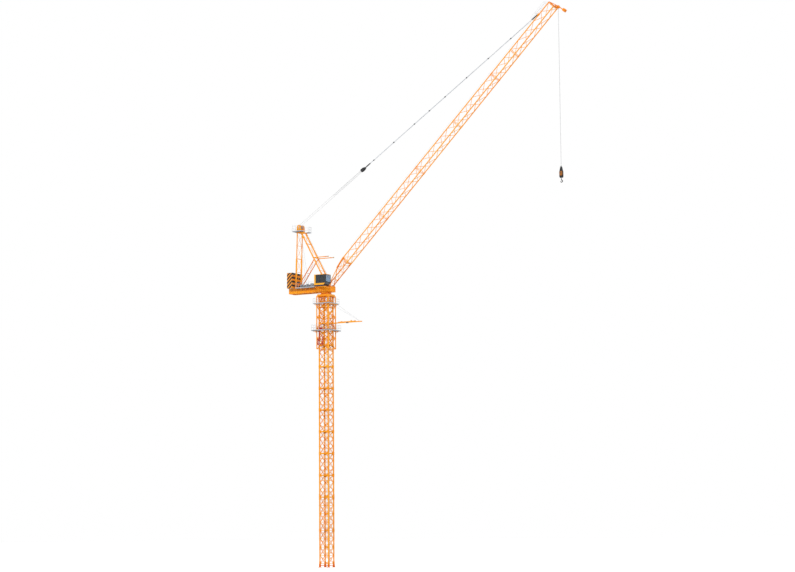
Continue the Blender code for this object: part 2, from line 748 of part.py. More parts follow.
def deck_box(name, x, size, colour, parent):
    """Closed housing on a bed that spans the deck's beams."""
    length, width, height = size
    low = DECK_TOP + SEAT_GAP
    bed_half = TURNTABLE_WIDTH / 2 - DECK_BEAM / 2
    body = box((x - length / 2, -width / 2, low), (x + length / 2, width / 2, low + height))
    bed = box((x - length / 2, -bed_half, low), (x + length / 2, bed_half, low + WINCH_BED / 2))
    add_solid(name, fuse([body, bed]), colour, parent)


def front_leg_point(share):
    """Point on the front legs' middle line, at a share of their length."""
    foot = Vector((FRONT_FOOT_X, 0, FRONT_FOOT_HEIGHT))
    return foot.lerp(Vector((FRONT_TOP_X, 0, FRONT_TOP_HEIGHT)), share)


def a_frame_front(colour, parent):
    """Two leaning legs with ties."""
    half = FRONT_SPREAD / 2
    pieces = []
    for side in (-1, 1):
        pieces.append(bar((FRONT_FOOT_X, side * half, FRONT_FOOT_HEIGHT),
                          (FRONT_TOP_X, side * half, FRONT_TOP_HEIGHT), FRONT_LEG))
    for share in FRONT_TIE_SHARES:
        node = front_leg_point(share)
        pieces.append(bar(node - ACROSS * half, node + ACROSS * half, TIE, level=UP))
    add_solid("a_frame_front", fuse(pieces), colour, parent)


def a_frame_rear(colour, parent):
    """Two nearly upright legs, thicker below their tie."""
    half = REAR_SPREAD / 2
    foot = Vector((REAR_FOOT_X, 0, DECK_TOP + SEAT_GAP))
    top = Vector((REAR_TOP_X, 0, REAR_TOP_HEIGHT))
    tie = foot.lerp(top, REAR_TIE_SHARE)
    pieces = []
    for side in (-1, 1):
        shift = ACROSS * (side * half)
        pieces.append(bar(foot + shift, top + shift, REAR_LEG))
        pieces.append(bar(foot + shift + UP * REAR_LEG, tie + shift, REAR_LEG_LOWER))
    pieces.append(bar(tie - ACROSS * half, tie + ACROSS * half, TIE, level=UP))
    add_solid("a_frame_rear", fuse(pieces), colour, parent)


def a_frame_struts(colour, parent):
    """Pair of struts from the front legs' node down to the rear legs' feet."""
    gap = FRONT_LEG / 2 + STRUT / 2 + SEAT_GAP
    node = front_leg_point(FRONT_TIE_SHARES[0])
    leg = (node - front_leg_point(0)).normalized()
    start = node - leg * 2 * TIE
    end = Vector((REAR_FOOT_X + BOOT, 0, DECK_TOP + BOOT))
    half = ACROSS * (FRONT_SPREAD / 2 - gap)
    pieces = []
    for side in (-1, 1):
        pieces.append(bar(start + half * side, end + half * side, STRUT))
    foot = (REAR_FOOT_X + BOOT, 0, DECK_TOP + SEAT_GAP + BOOT / 2)
    pieces.append(block(foot, (BOOT, TURNTABLE_WIDTH - DECK_BEAM, BOOT)))
    add_solid("a_frame_struts", fuse(pieces), colour, parent)


def a_frame_head(colour, parent):
    """Head beams over the four legs, with ears for the sheaves' pin."""
    low = REAR_TOP_HEIGHT + 2 * SEAT_GAP
    half = REAR_SPREAD / 2 + REAR_LEG / 2
    rear = REAR_TOP_X - REAR_LEG
    front = FRONT_TOP_X + FRONT_LEG
    pieces = [box((rear, -half, low), (front, half, low + HEAD_CHEEK))]
    ear_y = ROPE_DOOR / 2 - HEAD_CHEEK
    seat = HEAD_SHEAVE_HEIGHT - HEAD_PIN_RADIUS - RUNNING_GAP
    for side in (-1, 1):
        y = side * ear_y
        pieces.append(box((HEAD_SHEAVE_X - HEAD_EAR, y - HEAD_CHEEK / 2, low),
                          (HEAD_SHEAVE_X + HEAD_EAR, y + HEAD_CHEEK / 2, seat)))
    add_solid("a_frame_head", fuse(pieces), colour, parent)


def jib_buffers(colour, parent):
    """Two stops that meet the jib root's stop beam just past its steepest pose."""
    along = ROOT_LENGTH - SEAT_GAP - TIE / 2
    across = STOP_RISE + TIE / 2 + SWING_CLEARANCE
    height = JIB_FOOT_HEIGHT + along * math.sin(LUFF_HIGHEST) + STOP_RISE * math.cos(LUFF_HIGHEST)
    end = JIB_FOOT_X + along * math.cos(LUFF_HIGHEST) - across * math.sin(LUFF_HIGHEST)
    end -= BUFFER_TIP_RADIUS / math.tan(LUFF_HIGHEST)
    leg = (front_leg_point(1) - front_leg_point(0)).normalized()
    ahead = Vector((leg.z, 0, -leg.x))
    seat = front_leg_point(0) + ahead * (FRONT_LEG / 2 + TIE / 2 + SEAT_GAP)
    start = seat.x + leg.x * (height - seat.z) / leg.z
    y = BUFFER_SPREAD / 2
    pieces = [bar((start, -y - BUFFER_RADIUS, height), (start, y + BUFFER_RADIUS, height), TIE, level=leg)]
    for side in (-1, 1):
        pieces.append(rod((start, side * y, height), (end - BUFFER_TIP_LENGTH / 2, side * y, height),
                          BUFFER_RADIUS))
        pieces.append(rod((end - BUFFER_TIP_LENGTH, side * y, height), (end, side * y, height),
                          BUFFER_TIP_RADIUS))
    add_solid("jib_buffers", fuse(pieces), colour, parent)


def cab_outline(margin):
    """Side profile of the cab, moved inwards by a margin."""
    top = CAB_FLOOR + CAB_HEIGHT
    nose = CAB_FRONT_X - CAB_HEIGHT * CAB_NOSE_SHARE
    corners = [(CAB_REAR_X, CAB_FLOOR), (nose, CAB_FLOOR), (CAB_FRONT_X, CAB_FLOOR + CAB_SILL), (CAB_FRONT_X, top),
               (CAB_REAR_X, top)]
    return inset([Vector(corner) for corner in corners], [margin] * len(corners))


def cab(shell_colour, glass_colour, parent):
    """Hollow cab with window openings and one bent sheet of glass inside it."""
    width = CAB_FAR_Y - CAB_NEAR_Y
    middle = (CAB_FAR_Y + CAB_NEAR_Y) / 2
    place = plane_matrix((0, middle, 0), AHEAD, UP)
    shell = pierced_plate(cab_outline(0), [], width, place)
    hollow = pierced_plate(cab_outline(CAB_WALL), [], width - 2 * CAB_WALL, place)
    top = CAB_FLOOR + CAB_HEIGHT
    window = box((CAB_REAR_X + 2 * CAB_POST, CAB_NEAR_Y - CAB_WALL, CAB_FLOOR + CAB_SILL),
                 (CAB_FRONT_X - CAB_POST, CAB_FAR_Y + CAB_WALL, top - CAB_POST))
    front = box((CAB_FRONT_X - CAB_POST, CAB_NEAR_Y + CAB_POST, CAB_FLOOR + CAB_SILL),
                (CAB_FRONT_X + CAB_POST, CAB_FAR_Y - CAB_POST, top - CAB_POST))
    cutters = fuse([hollow, window, front])
    shape = cut(shell, cutters)
    add_solid("cab_shell", shape, shell_colour, parent)
    inner = CAB_WALL + SEAT_GAP
    outer_skin = pierced_plate(cab_outline(inner), [], width - 2 * inner, place)
    core = pierced_plate(cab_outline(inner + GLASS), [], width - 2 * (inner + GLASS), place)
    sheet = cut(outer_skin, core)
    keep = box((CAB_REAR_X + CAB_POST, CAB_NEAR_Y, CAB_FLOOR + CAB_SILL - CAB_POST),
               (CAB_FRONT_X, CAB_FAR_Y, top - 2 * CAB_POST))
    add_solid("cab_glass", common(sheet, keep), glass_colour, parent)


def boolean(first, second, operation):
    """Exact difference or intersection of two closed shapes."""
    body, operand = temporary_object(first), temporary_object(second)
    step = body.modifiers.new("step", "BOOLEAN")
    step.operation = operation
    step.solver = "EXACT"
    step.object = operand
    bpy.context.view_layer.update()
    result = body.evaluated_get(bpy.context.evaluated_depsgraph_get()).to_mesh()
    shape = bmesh.new()
    shape.from_mesh(result)
    for thing in (body, operand):
        bpy.data.objects.remove(thing, do_unlink=True)
    return shape


def cut(first, second):
    """What is left of the first shape without the second."""
    return boolean(first, second, "DIFFERENCE")


def common(first, second):
    """What both shapes share."""
    return boolean(first, second, "INTERSECT")


def jib_run_holes(start, runs, half_width, edge, first):
    """Holes of several jib sections in a row; runs holds pairs of length and bays."""
    holes = []
    place = start
    for length, bays in runs:
        holes += zigzag_holes(place, length, half_width, bays, edge, JIB_LACING, first)
        place += length
    return holes


def lug_offset():
    """Distance of each lug ear's middle from the jib's middle plane."""
    return (PENDANT_SPREAD + PENDANT_BAR + RAIL + LUG_EAR) / 2 + RUNNING_GAP


def circle(x, y, radius, steps):
    """Points round a circle, anticlockwise."""
    turns = [2 * math.pi * number / steps for number in range(steps)]
    return [Vector((x + radius * math.cos(turn), y + radius * math.sin(turn))) for turn in turns]


def lug_ears():
    """Two ears on the top chord with round heads and the pendant pin's eyes."""
    head = PENDANT_BAR * 2
    outline = [(LUG_ALONG - 2 * head, JIB_HEIGHT), (LUG_ALONG + 2 * head, JIB_HEIGHT)]
    outline += half_round(LUG_ALONG, JIB_HEIGHT + LUG_HEIGHT, head)
    eye = circle(LUG_ALONG, JIB_HEIGHT + LUG_HEIGHT, PENDANT_BAR + RUNNING_GAP, ROUND_SIDES)
    ears = []
    for side in (-1, 1):
        place = plane_matrix((0, side * lug_offset(), 0), AHEAD, UP)
        ears.append(pierced_plate(outline, [eye], LUG_EAR, place))
    base_half = Vector((2 * head + RAIL / 2, lug_offset() + LUG_EAR, JIB_LACING / 2))
    ears.append(block((LUG_ALONG, 0, JIB_HEIGHT), base_half * 2))
    return ears


def jib_sides(label, start, runs, colour, parent):
    """Bottom and two sloping sides of a stretch of the jib."""
    length = sum(run[0] for run in runs)
    span = rectangle(start + SEAT_GAP, start + length, -JIB_WIDTH / 2, JIB_WIDTH / 2)
    holes = jib_run_holes(start, runs, JIB_WIDTH / 2, JIB_CHORD * BURIED_SHARE, 1)
    plate = pierced_plate(span, holes, JIB_DEPTH, Matrix.Identity(4))
    pieces = [plate]
    for side in (-1, 1):
        pieces.append(bar((start + SEAT_GAP, side * JIB_WIDTH / 2, 0),
                          (start + length, side * JIB_WIDTH / 2, 0), JIB_CHORD))
    add_solid(f"{label}_bottom", fuse(pieces), colour, parent)
    slope = Vector((0, -JIB_WIDTH / 2, JIB_HEIGHT))
    reach = slope.length
    low = JIB_CHORD / 2 * (JIB_WIDTH / 2 + JIB_HEIGHT) / reach + SEAT_GAP
    edge = JIB_LACING
    for name, side in (("near", -1), ("far", 1)):
        up = Vector((0, -side * JIB_WIDTH / 2, JIB_HEIGHT)).normalized()
        foot = Vector((0, side * JIB_WIDTH / 2, 0)) + up * low
        top_gap = JIB_CHORD / 3 if name == "near" else low
        height = reach - low - top_gap
        middle = height / 2
        place = plane_matrix(foot + up * middle, AHEAD, up)
        holes = jib_run_holes(start, runs, middle - edge / 2, edge, side)
        outline = rectangle(start + SEAT_GAP, start + length, -middle, middle)
        plate = pierced_plate(outline, holes, JIB_DEPTH, place)
        if name == "near":
            chord = bar((start + SEAT_GAP, 0, JIB_HEIGHT), (start + length, 0, JIB_HEIGHT), JIB_CHORD)
            lugs = lug_ears() if start < LUG_ALONG < start + length else []
            plate = fuse([plate, chord, *lugs])
        add_solid(f"{label}_{name}", plate, colour, parent)


def jib_root(colour, parent):
    """Foot section: its top chord comes down to the pins, and its end frame has the stop beam."""
    end = ROOT_LENGTH - SEAT_GAP
    half = JIB_WIDTH / 2
    knee = (end * ROOT_KNEE_SHARE, 0, ROOT_KNEE_RISE)
    pieces = []
    for side in (-1, 1):
        y = side * half
        hub = rod((0, y - JIB_CHORD / 2, 0), (0, y + JIB_CHORD / 2, 0), FOOT_EAR / 2)
        eye = rod((0, y - JIB_CHORD, 0), (0, y + JIB_CHORD, 0), FOOT_PIN_RADIUS + RUNNING_GAP)
        chord = bar((FOOT_EAR / 3, y, 0), (end, y, 0), JIB_CHORD)
        pieces.append(cut(fuse([hub, chord]), eye))
        pieces.append(bar((FOOT_EAR, y, 0), knee, TIE))
    pieces.append(bar(knee, (end - TIE, 0, JIB_HEIGHT), 2 * TIE))
    first, last = [end * share for share in ROOT_BEAM_SHARES]
    for x in (first, last):
        pieces.append(bar((x, -half, 0), (x, half, 0), JIB_LACING, level=UP))
    pieces.append(bar((first, -half, 0), (last, half, 0), JIB_LACING, level=UP))
    frame = end - TIE / 2
    pieces.append(bar((frame, -half, 0), (frame, half, 0), TIE, level=UP))
    for side in (-1, 1):
        pieces.append(bar((frame, side * half, 0), (frame, 0, JIB_HEIGHT), TIE))
    pieces.append(bar((frame, -STOP_LENGTH / 2, STOP_RISE), (frame, STOP_LENGTH / 2, STOP_RISE), TIE, level=UP))
    pieces.append(block((end - TIE, 0, JIB_HEIGHT), (2 * TIE, 2 * TIE, TIE)))
    add_solid("jib_root", fuse(pieces), colour, parent)


def jib_head(colour, parent):
    """End frame with two arms that hold the tip sheave and end in the rope's anchor box."""
    start = JIB_LENGTH + SEAT_GAP + TIE / 2
    half = JIB_WIDTH / 2
    end = start + HEAD_REACH - TIE
    foot = (end + HEAD_ARM_LEAN, -HEAD_ARM)
    pieces = []
    for side in (-1, 1):
        y = side * HOIST_SPREAD
        pieces.append(bar((start, y, 0), (end, y, 0), TIE))
        pieces.append(bar((end, y, JIB_CHORD / 2), (foot[0], y, foot[1]), JIB_CHORD))
        pieces.append(bar((start, side * half, 0), (start, 0, JIB_HEIGHT), TIE))
    pieces.append(bar((start, 0, JIB_HEIGHT), (end, 0, JIB_CHORD), TIE))
    for x in (start, end):
        pieces.append(bar((x, -half if x == start else -HOIST_SPREAD, 0),
                          (x, half if x == start else HOIST_SPREAD, 0), TIE, level=UP))
    box_size = (HEAD_ARM_BOX, 2 * HOIST_SPREAD + JIB_CHORD + TIE, HEAD_ARM_BOX)
    pieces.append(block((foot[0], 0, foot[1] + HEAD_ARM_BOX / 2 - TIE), box_size))
    add_solid("jib_head", fuse(pieces), colour, parent)


def a_frame_platform(colour, parent):
    """Grating across the A-frame's head with railings and a gap for the ropes."""
    level = REAR_TOP_HEIGHT + 2 * SEAT_GAP + HEAD_CHEEK + SEAT_GAP
    middle_x = (REAR_TOP_X + FRONT_TOP_X) / 2
    rear, front = middle_x - A_PLATFORM_LENGTH / 2, middle_x + A_PLATFORM_LENGTH / 2
    half = A_PLATFORM_WIDTH / 2
    hatch = ROPE_DOOR / 2 + SEAT_GAP
    centre = Matrix.Translation((0, 0, level + GRATING / 2))
    outline = [(rear, -half), (front, -half), (front, -hatch), (rear + HEAD_EAR, -hatch),
               (rear + HEAD_EAR, hatch), (front, hatch), (front, half), (rear, half)]
    pieces = [pierced_plate(outline, [], GRATING, centre)]
    low = level + GRATING / 2
    edge = half - RAIL
    overrun = RAIL / 4
    lower = A_RAIL_HEIGHT - overrun
    for side in (-1, 1):
        y = side * edge
        pieces.append(fence((rear + overrun, y, 0), (front - overrun, y, 0), low, A_RAIL_HEIGHT, DOOR_POSTS))
        pieces.append(fence((front - RAIL, side * (hatch + overrun), 0), (front - RAIL, y, 0), low, lower,
                            DOOR_POSTS))
    pieces.append(fence((rear + RAIL, -edge, 0), (rear + RAIL, edge, 0), low, lower, RAIL_POSTS))
    add_solid("a_frame_platform", fuse(pieces), colour, parent)


def a_frame_ladder(colour, parent):
    """Ladder on the back of the far front leg."""
    foot, top = front_leg_point(0), front_leg_point(1)
    run = (top - foot).normalized()
    far = FRONT_SPREAD / 2 + FRONT_LEG / 2 + SEAT_GAP
    start = foot + run * LADDER_START
    end = top - run * FRONT_LEG
    middle = ACROSS * (far + A_LADDER_WIDTH / 2)
    ladder = ladder_plate(start + middle, end + middle, ACROSS, A_LADDER_WIDTH, A_LADDER_RAIL, A_LADDER_OPENINGS)
    add_solid("a_frame_ladder", ladder, colour, parent)


def head_to_lug(luff):
    """Vector from the head sheaves to the pendant's pin at a luffing angle."""
    along, height = LUG_ALONG, JIB_HEIGHT + LUG_HEIGHT
    x = JIB_FOOT_X + along * math.cos(luff) - height * math.sin(luff)
    z = JIB_FOOT_HEIGHT + along * math.sin(luff) + height * math.cos(luff)
    return Vector((x - HEAD_SHEAVE_X, 0, z - HEAD_SHEAVE_HEIGHT))


def line_pitch(luff):
    """Slope of the line from the head sheaves' top to the pendant's pin at a luffing angle."""
    line = head_to_lug(luff)
    return math.atan2(line.z, line.x) - math.asin(HEAD_SHEAVE_RADIUS / line.length)


def line_length(luff):
    """Length of that line, from the sheaves' tangent point to the pin."""
    return math.sqrt(head_to_lug(luff).length_squared - HEAD_SHEAVE_RADIUS * HEAD_SHEAVE_RADIUS)


def pendant_bars(colour, parent):
    """Pair of flat bars with connectors, from the jib's lug down to the block."""
    length = PENDANT_LENGTH
    half = PENDANT_SPREAD / 2
    pieces = []
    for side in (-1, 1):
        pieces.append(bar((-PENDANT_BAR, side * half, 0), (-length, side * half, 0), PENDANT_BAR))
    for share in PENDANT_JOINT_SHARES:
        x = -PENDANT_BAR - (length - 2 * PENDANT_BAR) * share
        pieces.append(block((x, 0, 0), (LINK_LENGTH, PENDANT_SPREAD + PENDANT_BAR + RAIL, PENDANT_BAR + RAIL)))
    pin_half = lug_offset() + LUG_EAR
    pin = rod((0, -pin_half, 0), (0, pin_half, 0), PENDANT_BAR)
    add_solid("pendant_bars", fuse([*pieces, pin]), colour, parent)


def luffing_block(colour, parent):
    """Sheave block at the pendant's lower end: two cheeks on a tapered body."""
    near = PENDANT_BAR - PENDANT_LENGTH - LINK_LENGTH / 2 - SEAT_GAP
    far = near - BLOCK_LENGTH
    waist = BLOCK_HEIGHT / 2 * BLOCK_WAIST_SHARE
    outline = [(near, -waist), (near, waist), (near - BLOCK_LENGTH / 2, BLOCK_HEIGHT / 2),
               (far, BLOCK_HEIGHT / 2), (far, -BLOCK_HEIGHT / 2), (near - BLOCK_LENGTH / 2, -BLOCK_HEIGHT / 2)]
    body = pierced_plate(outline, [], BLOCK_WIDTH, plane_matrix((0, 0, 0), AHEAD, UP))
    add_solid("luffing_block", body, colour, parent)


def luffing_falls(colour, head_axis, pendant_axis):
    """Two sets of rope falls side by side: one from the head sheaves, one from the block."""
    block_near = PENDANT_BAR - PENDANT_LENGTH - LINK_LENGTH / 2 - SEAT_GAP
    block_far = block_near - BLOCK_LENGTH
    rest = line_length(LUFF_REST)
    head_reach = rest + block_near - BLOCK_LENGTH / 2
    rise = HEAD_SHEAVE_RADIUS - ROPE_RADIUS
    outer = BLOCK_WIDTH / 2 + SWING_CLEARANCE + ROPE_RADIUS
    pieces = [rod((0, -HEAD_PIN_HALF, 0), (0, HEAD_PIN_HALF, 0), HEAD_PIN_RADIUS)]
    for side in (-1, 1):
        pieces.append(rod((0, side * outer, rise), (head_reach, side * outer, rise), ROPE_RADIUS, ROPE_SIDES))
        pieces.append(rod((0, side * outer - HEAD_SHEAVE_WIDTH / 2, 0),
                          (0, side * outer + HEAD_SHEAVE_WIDTH / 2, 0), HEAD_SHEAVE_RADIUS, HEAD_SHEAVE_SIDES))
    add_solid("luffing_falls_head", fuse(pieces), colour, head_axis)
    longest = line_length(LUFF_LOWEST)
    block_reach = longest - rest + FALLS_OVERLAP
    inner = BLOCK_WIDTH / 2 - ROPE_RADIUS - RAIL
    start = block_far - SEAT_GAP
    pieces = [block((start - RAIL / 2, 0, 0), (RAIL, BLOCK_WIDTH, BLOCK_HEIGHT))]
    for side in (-1, 1):
        pieces.append(rod((start - RAIL / 2, side * inner, 0), (start - block_reach, side * inner, 0),
                          ROPE_RADIUS, ROPE_SIDES))
    add_solid("luffing_falls_block", fuse(pieces), colour, pendant_axis)


def hoist(rope_colour, plate_colour, hook_colour, hoist_axis, hook_axis):
    """Two falls of hoist rope, the hook block and the swivelling hook."""
    half = HOIST_SPREAD / 2
    pin_half = HOIST_SPREAD - JIB_CHORD / 2 - RUNNING_GAP
    pieces = [rod((0, -pin_half, 0), (0, pin_half, 0), TIP_SHEAVE_RADIUS, HEAD_SHEAVE_SIDES)]
    end = RAIL / 2 + SEAT_GAP - HOIST_LENGTH
    for side in (-1, 1):
        pieces.append(rod((0, side * half / 2, 0), (0, side * half / 2, end), ROPE_RADIUS, ROPE_SIDES))
    pieces.append(block((0, 0, end), (2 * RAIL, HOIST_SPREAD, RAIL)))
    add_solid("hoist_rope", fuse(pieces), rope_colour, hoist_axis)
    wide, deep = HOOK_BLOCK_WIDTH / 2, HOOK_BLOCK_DEPTH / 2
    top, low = -HOIST_LENGTH, -HOIST_LENGTH - HOOK_BLOCK_HEIGHT
    knee = top - HOOK_BLOCK_HEIGHT / 2
    outline = [(-deep / 2, top), (-wide, knee), (-wide, low + RAIL), (-deep / 2, low), (deep / 2, low),
               (wide, low + RAIL), (wide, knee), (deep / 2, top)]
    body = pierced_plate(outline, [], HOOK_BLOCK_DEPTH, plane_matrix((0, 0, 0), AHEAD, UP))
    add_solid("hook_block", body, plate_colour, hoist_axis)
    shank = -RUNNING_GAP
    centre = shank - HOOK_SHANK - HOOK_RADIUS
    inner_radius = HOOK_RADIUS - HOOK_THICKNESS
    outline = []
    for number in range(HOOK_STEPS + 1):
        turn = HOOK_START - HOOK_SWEEP * number / HOOK_STEPS
        outline.append((HOOK_RADIUS * math.cos(turn), centre + HOOK_RADIUS * math.sin(turn)))
    for number in range(HOOK_STEPS, -1, -1):
        turn = HOOK_START - HOOK_SWEEP * number / HOOK_STEPS
        outline.append((inner_radius * math.cos(turn), centre + inner_radius * math.sin(turn)))
    ring = pierced_plate(outline, [], HOOK_THICKNESS, plane_matrix((0, 0, 0), AHEAD, UP))
    stem = rod((0, 0, shank), (0, 0, centre + inner_radius + HOOK_THICKNESS / 2), HOOK_THICKNESS / 2)
    add_solid("hook", fuse([ring, stem]), hook_colour, hook_axis)


def main():
    """Build every piece about its axis."""
    clear_scene()
    orange = paint("crane_orange", (0.83, 0.29, 0.035), 0.45)
    grey = paint("galvanised_grey", (0.33, 0.34, 0.36), 0.5, 0.6)
    red = paint("hydraulic_red", (0.42, 0.02, 0.02), 0.4)
    chevron = paint("counterweight_paint", (0.9, 0.36, 0.03), 0.6)
    winch_grey = paint("winch_grey", (0.12, 0.13, 0.15), 0.5)
    cabinet_grey = paint("cabinet_grey", (0.4, 0.43, 0.47), 0.5)
    cab_paint = paint("cab_paint", (0.85, 0.38, 0.03), 0.4)
    glass = paint("cab_glass", (0.25, 0.45, 0.6), 0.1)
    rope = paint("wire_rope", (0.12, 0.12, 0.12), 0.5, 0.7)
    black = paint("block_black", (0.02, 0.02, 0.025), 0.5)
    brown = paint("hook_plate_orange", (0.5, 0.2, 0.04), 0.5)

    mast_axis = axis_empty("mast_axis", (HALF_MAST, HALF_MAST, 0))
    base_frame(orange, mast_axis)
    mast_sides("mast_base", FOOT_HEIGHT, BASE_SECTION, BASE_SECTIONS, base_holes, orange, mast_axis)
    mast_sides("mast_shaft", BASE_TOP, SHAFT_SECTION, SHAFT_SECTIONS, shaft_holes, orange, mast_axis)
    mast_ladder(grey, mast_axis)
    climbing_cage(orange, mast_axis)
    fenced_platform("cage_platform_lower", LOWER_PLATFORM_SIDE, LOWER_PLATFORM_LEVEL, LOWER_RAIL_HEIGHT,
                    grey, mast_axis)
    fenced_platform("cage_platform_upper", UPPER_PLATFORM_SIDE, UPPER_PLATFORM_LEVEL, UPPER_RAIL_HEIGHT,
                    grey, mast_axis)
    loading_beam(orange, mast_axis)
    hydraulics(red, mast_axis)
    slewing_support(orange, mast_axis)

    slewing_axis = axis_empty("slewing_axis", (HALF_MAST, HALF_MAST, RING_LEVEL))
    turntable(orange, slewing_axis)
    counter_deck(orange, slewing_axis)
    deck_walkway(grey, slewing_axis)
    counterweight(chevron, slewing_axis)
    winch("hoist_winch", HOIST_WINCH_X, winch_grey, slewing_axis)
    winch("luffing_winch", LUFFING_WINCH_X, winch_grey, slewing_axis)
    deck_box("electric_cabinet", CABINET_X, CABINET, cabinet_grey, slewing_axis)
    a_frame_front(orange, slewing_axis)
    a_frame_rear(orange, slewing_axis)
    a_frame_struts(orange, slewing_axis)
    a_frame_head(orange, slewing_axis)
    a_frame_platform(grey, slewing_axis)
    a_frame_ladder(grey, slewing_axis)
    jib_buffers(orange, slewing_axis)
    cab(cab_paint, glass, slewing_axis)

    jib_axis = axis_empty("jib_axis", (JIB_FOOT_X, 0, JIB_FOOT_HEIGHT), slewing_axis, LUFF_REST)
    jib_root(orange, jib_axis)
    main_run = (MAIN_SECTION, MAIN_BAYS)
    half_count = MAIN_SECTIONS // 2
    jib_sides("jib_lower", ROOT_LENGTH, [main_run] * half_count, orange, jib_axis)
    upper_start = ROOT_LENGTH + half_count * MAIN_SECTION
    upper_runs = [main_run] * (MAIN_SECTIONS - half_count) + [(SHORT_SECTION, SHORT_BAYS),
                                                              (TIP_SECTION, TIP_BAYS)]
    jib_sides("jib_upper", upper_start, upper_runs, orange, jib_axis)
    jib_head(orange, jib_axis)

    head_place = Vector((HEAD_SHEAVE_X, 0, HEAD_SHEAVE_HEIGHT))
    head_axis = axis_empty("head_sheave_axis", head_place, slewing_axis, line_pitch(LUFF_REST))
    pendant_axis = axis_empty("pendant_axis", (LUG_ALONG, 0, JIB_HEIGHT + LUG_HEIGHT), jib_axis,
                              line_pitch(LUFF_REST) - LUFF_REST)
    pendant_bars(grey, pendant_axis)
    luffing_block(black, pendant_axis)
    luffing_falls(rope, head_axis, pendant_axis)
    tip_place = (JIB_LENGTH + SEAT_GAP + HEAD_REACH - TIE / 2, 0, -TIP_SHEAVE_DROP)
    tip_axis = axis_empty("tip_sheave_axis", tip_place, jib_axis, -LUFF_REST)
    hook_axis = axis_empty("hook_axis", (0, 0, -HOIST_LENGTH - HOOK_BLOCK_HEIGHT), tip_axis)
    hoist(rope, brown, black, tip_axis, hook_axis)


main()
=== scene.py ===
"""Looks of the luffing-jib tower crane model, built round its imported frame.

Shapes are drawn in millimetres; places, camera, lamps and materials are in metres.  Most
pieces are lattices, rails and plates: straight prisms that carry an outline from one point
to another, gathered by the hundred into one mesh.
"""

import json
import math

import bpy
import numpy as np
from mathutils import Matrix, Vector

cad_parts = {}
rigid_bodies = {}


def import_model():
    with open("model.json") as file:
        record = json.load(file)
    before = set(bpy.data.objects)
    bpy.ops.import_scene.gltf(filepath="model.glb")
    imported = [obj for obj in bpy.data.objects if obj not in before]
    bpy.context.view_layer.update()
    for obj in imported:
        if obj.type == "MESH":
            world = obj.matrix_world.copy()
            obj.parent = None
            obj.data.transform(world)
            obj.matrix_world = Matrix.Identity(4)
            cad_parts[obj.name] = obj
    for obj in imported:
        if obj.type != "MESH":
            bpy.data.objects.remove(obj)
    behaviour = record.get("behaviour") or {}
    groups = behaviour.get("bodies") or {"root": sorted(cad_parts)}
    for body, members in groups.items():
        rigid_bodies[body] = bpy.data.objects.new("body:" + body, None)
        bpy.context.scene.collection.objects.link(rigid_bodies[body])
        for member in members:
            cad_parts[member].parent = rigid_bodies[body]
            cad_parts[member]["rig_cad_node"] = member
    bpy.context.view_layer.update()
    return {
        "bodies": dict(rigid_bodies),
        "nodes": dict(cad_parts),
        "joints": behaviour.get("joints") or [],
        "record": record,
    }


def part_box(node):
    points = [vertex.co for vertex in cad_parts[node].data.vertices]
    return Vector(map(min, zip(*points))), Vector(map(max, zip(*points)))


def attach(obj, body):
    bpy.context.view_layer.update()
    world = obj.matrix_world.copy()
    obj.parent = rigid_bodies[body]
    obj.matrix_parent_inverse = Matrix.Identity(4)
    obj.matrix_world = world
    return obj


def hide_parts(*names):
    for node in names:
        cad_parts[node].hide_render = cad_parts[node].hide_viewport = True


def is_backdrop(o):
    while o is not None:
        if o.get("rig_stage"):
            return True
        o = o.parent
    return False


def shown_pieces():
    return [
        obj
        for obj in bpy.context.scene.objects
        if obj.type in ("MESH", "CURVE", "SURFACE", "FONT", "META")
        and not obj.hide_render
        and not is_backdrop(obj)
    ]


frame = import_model()
JOINTS = {joint["name"]: np.array(joint["pos_m"]) for joint in frame["joints"]}

PER_METRE = 1000
GAP = 0.3  # left free where parts seat on each other
X, Y, Z = np.eye(3)
# Directions that no tube, axis or hose follows, to take their first sides from.
TUBE_LEAN, LATHE_LEAN, HOSE_LEAN = np.array(((0.31, 0.2, 0.93), (0.3, 0.5, 0.8), (0.12, 0.33, 0.94)))


# ---------------------------------------------------------------- mesh making
def walls(here, onward):
    """Quads between rings of vertex numbers and the next rings."""
    return np.stack([here, np.roll(here, -1, 1), np.roll(onward, -1, 1), onward], -1).reshape(-1, 4)


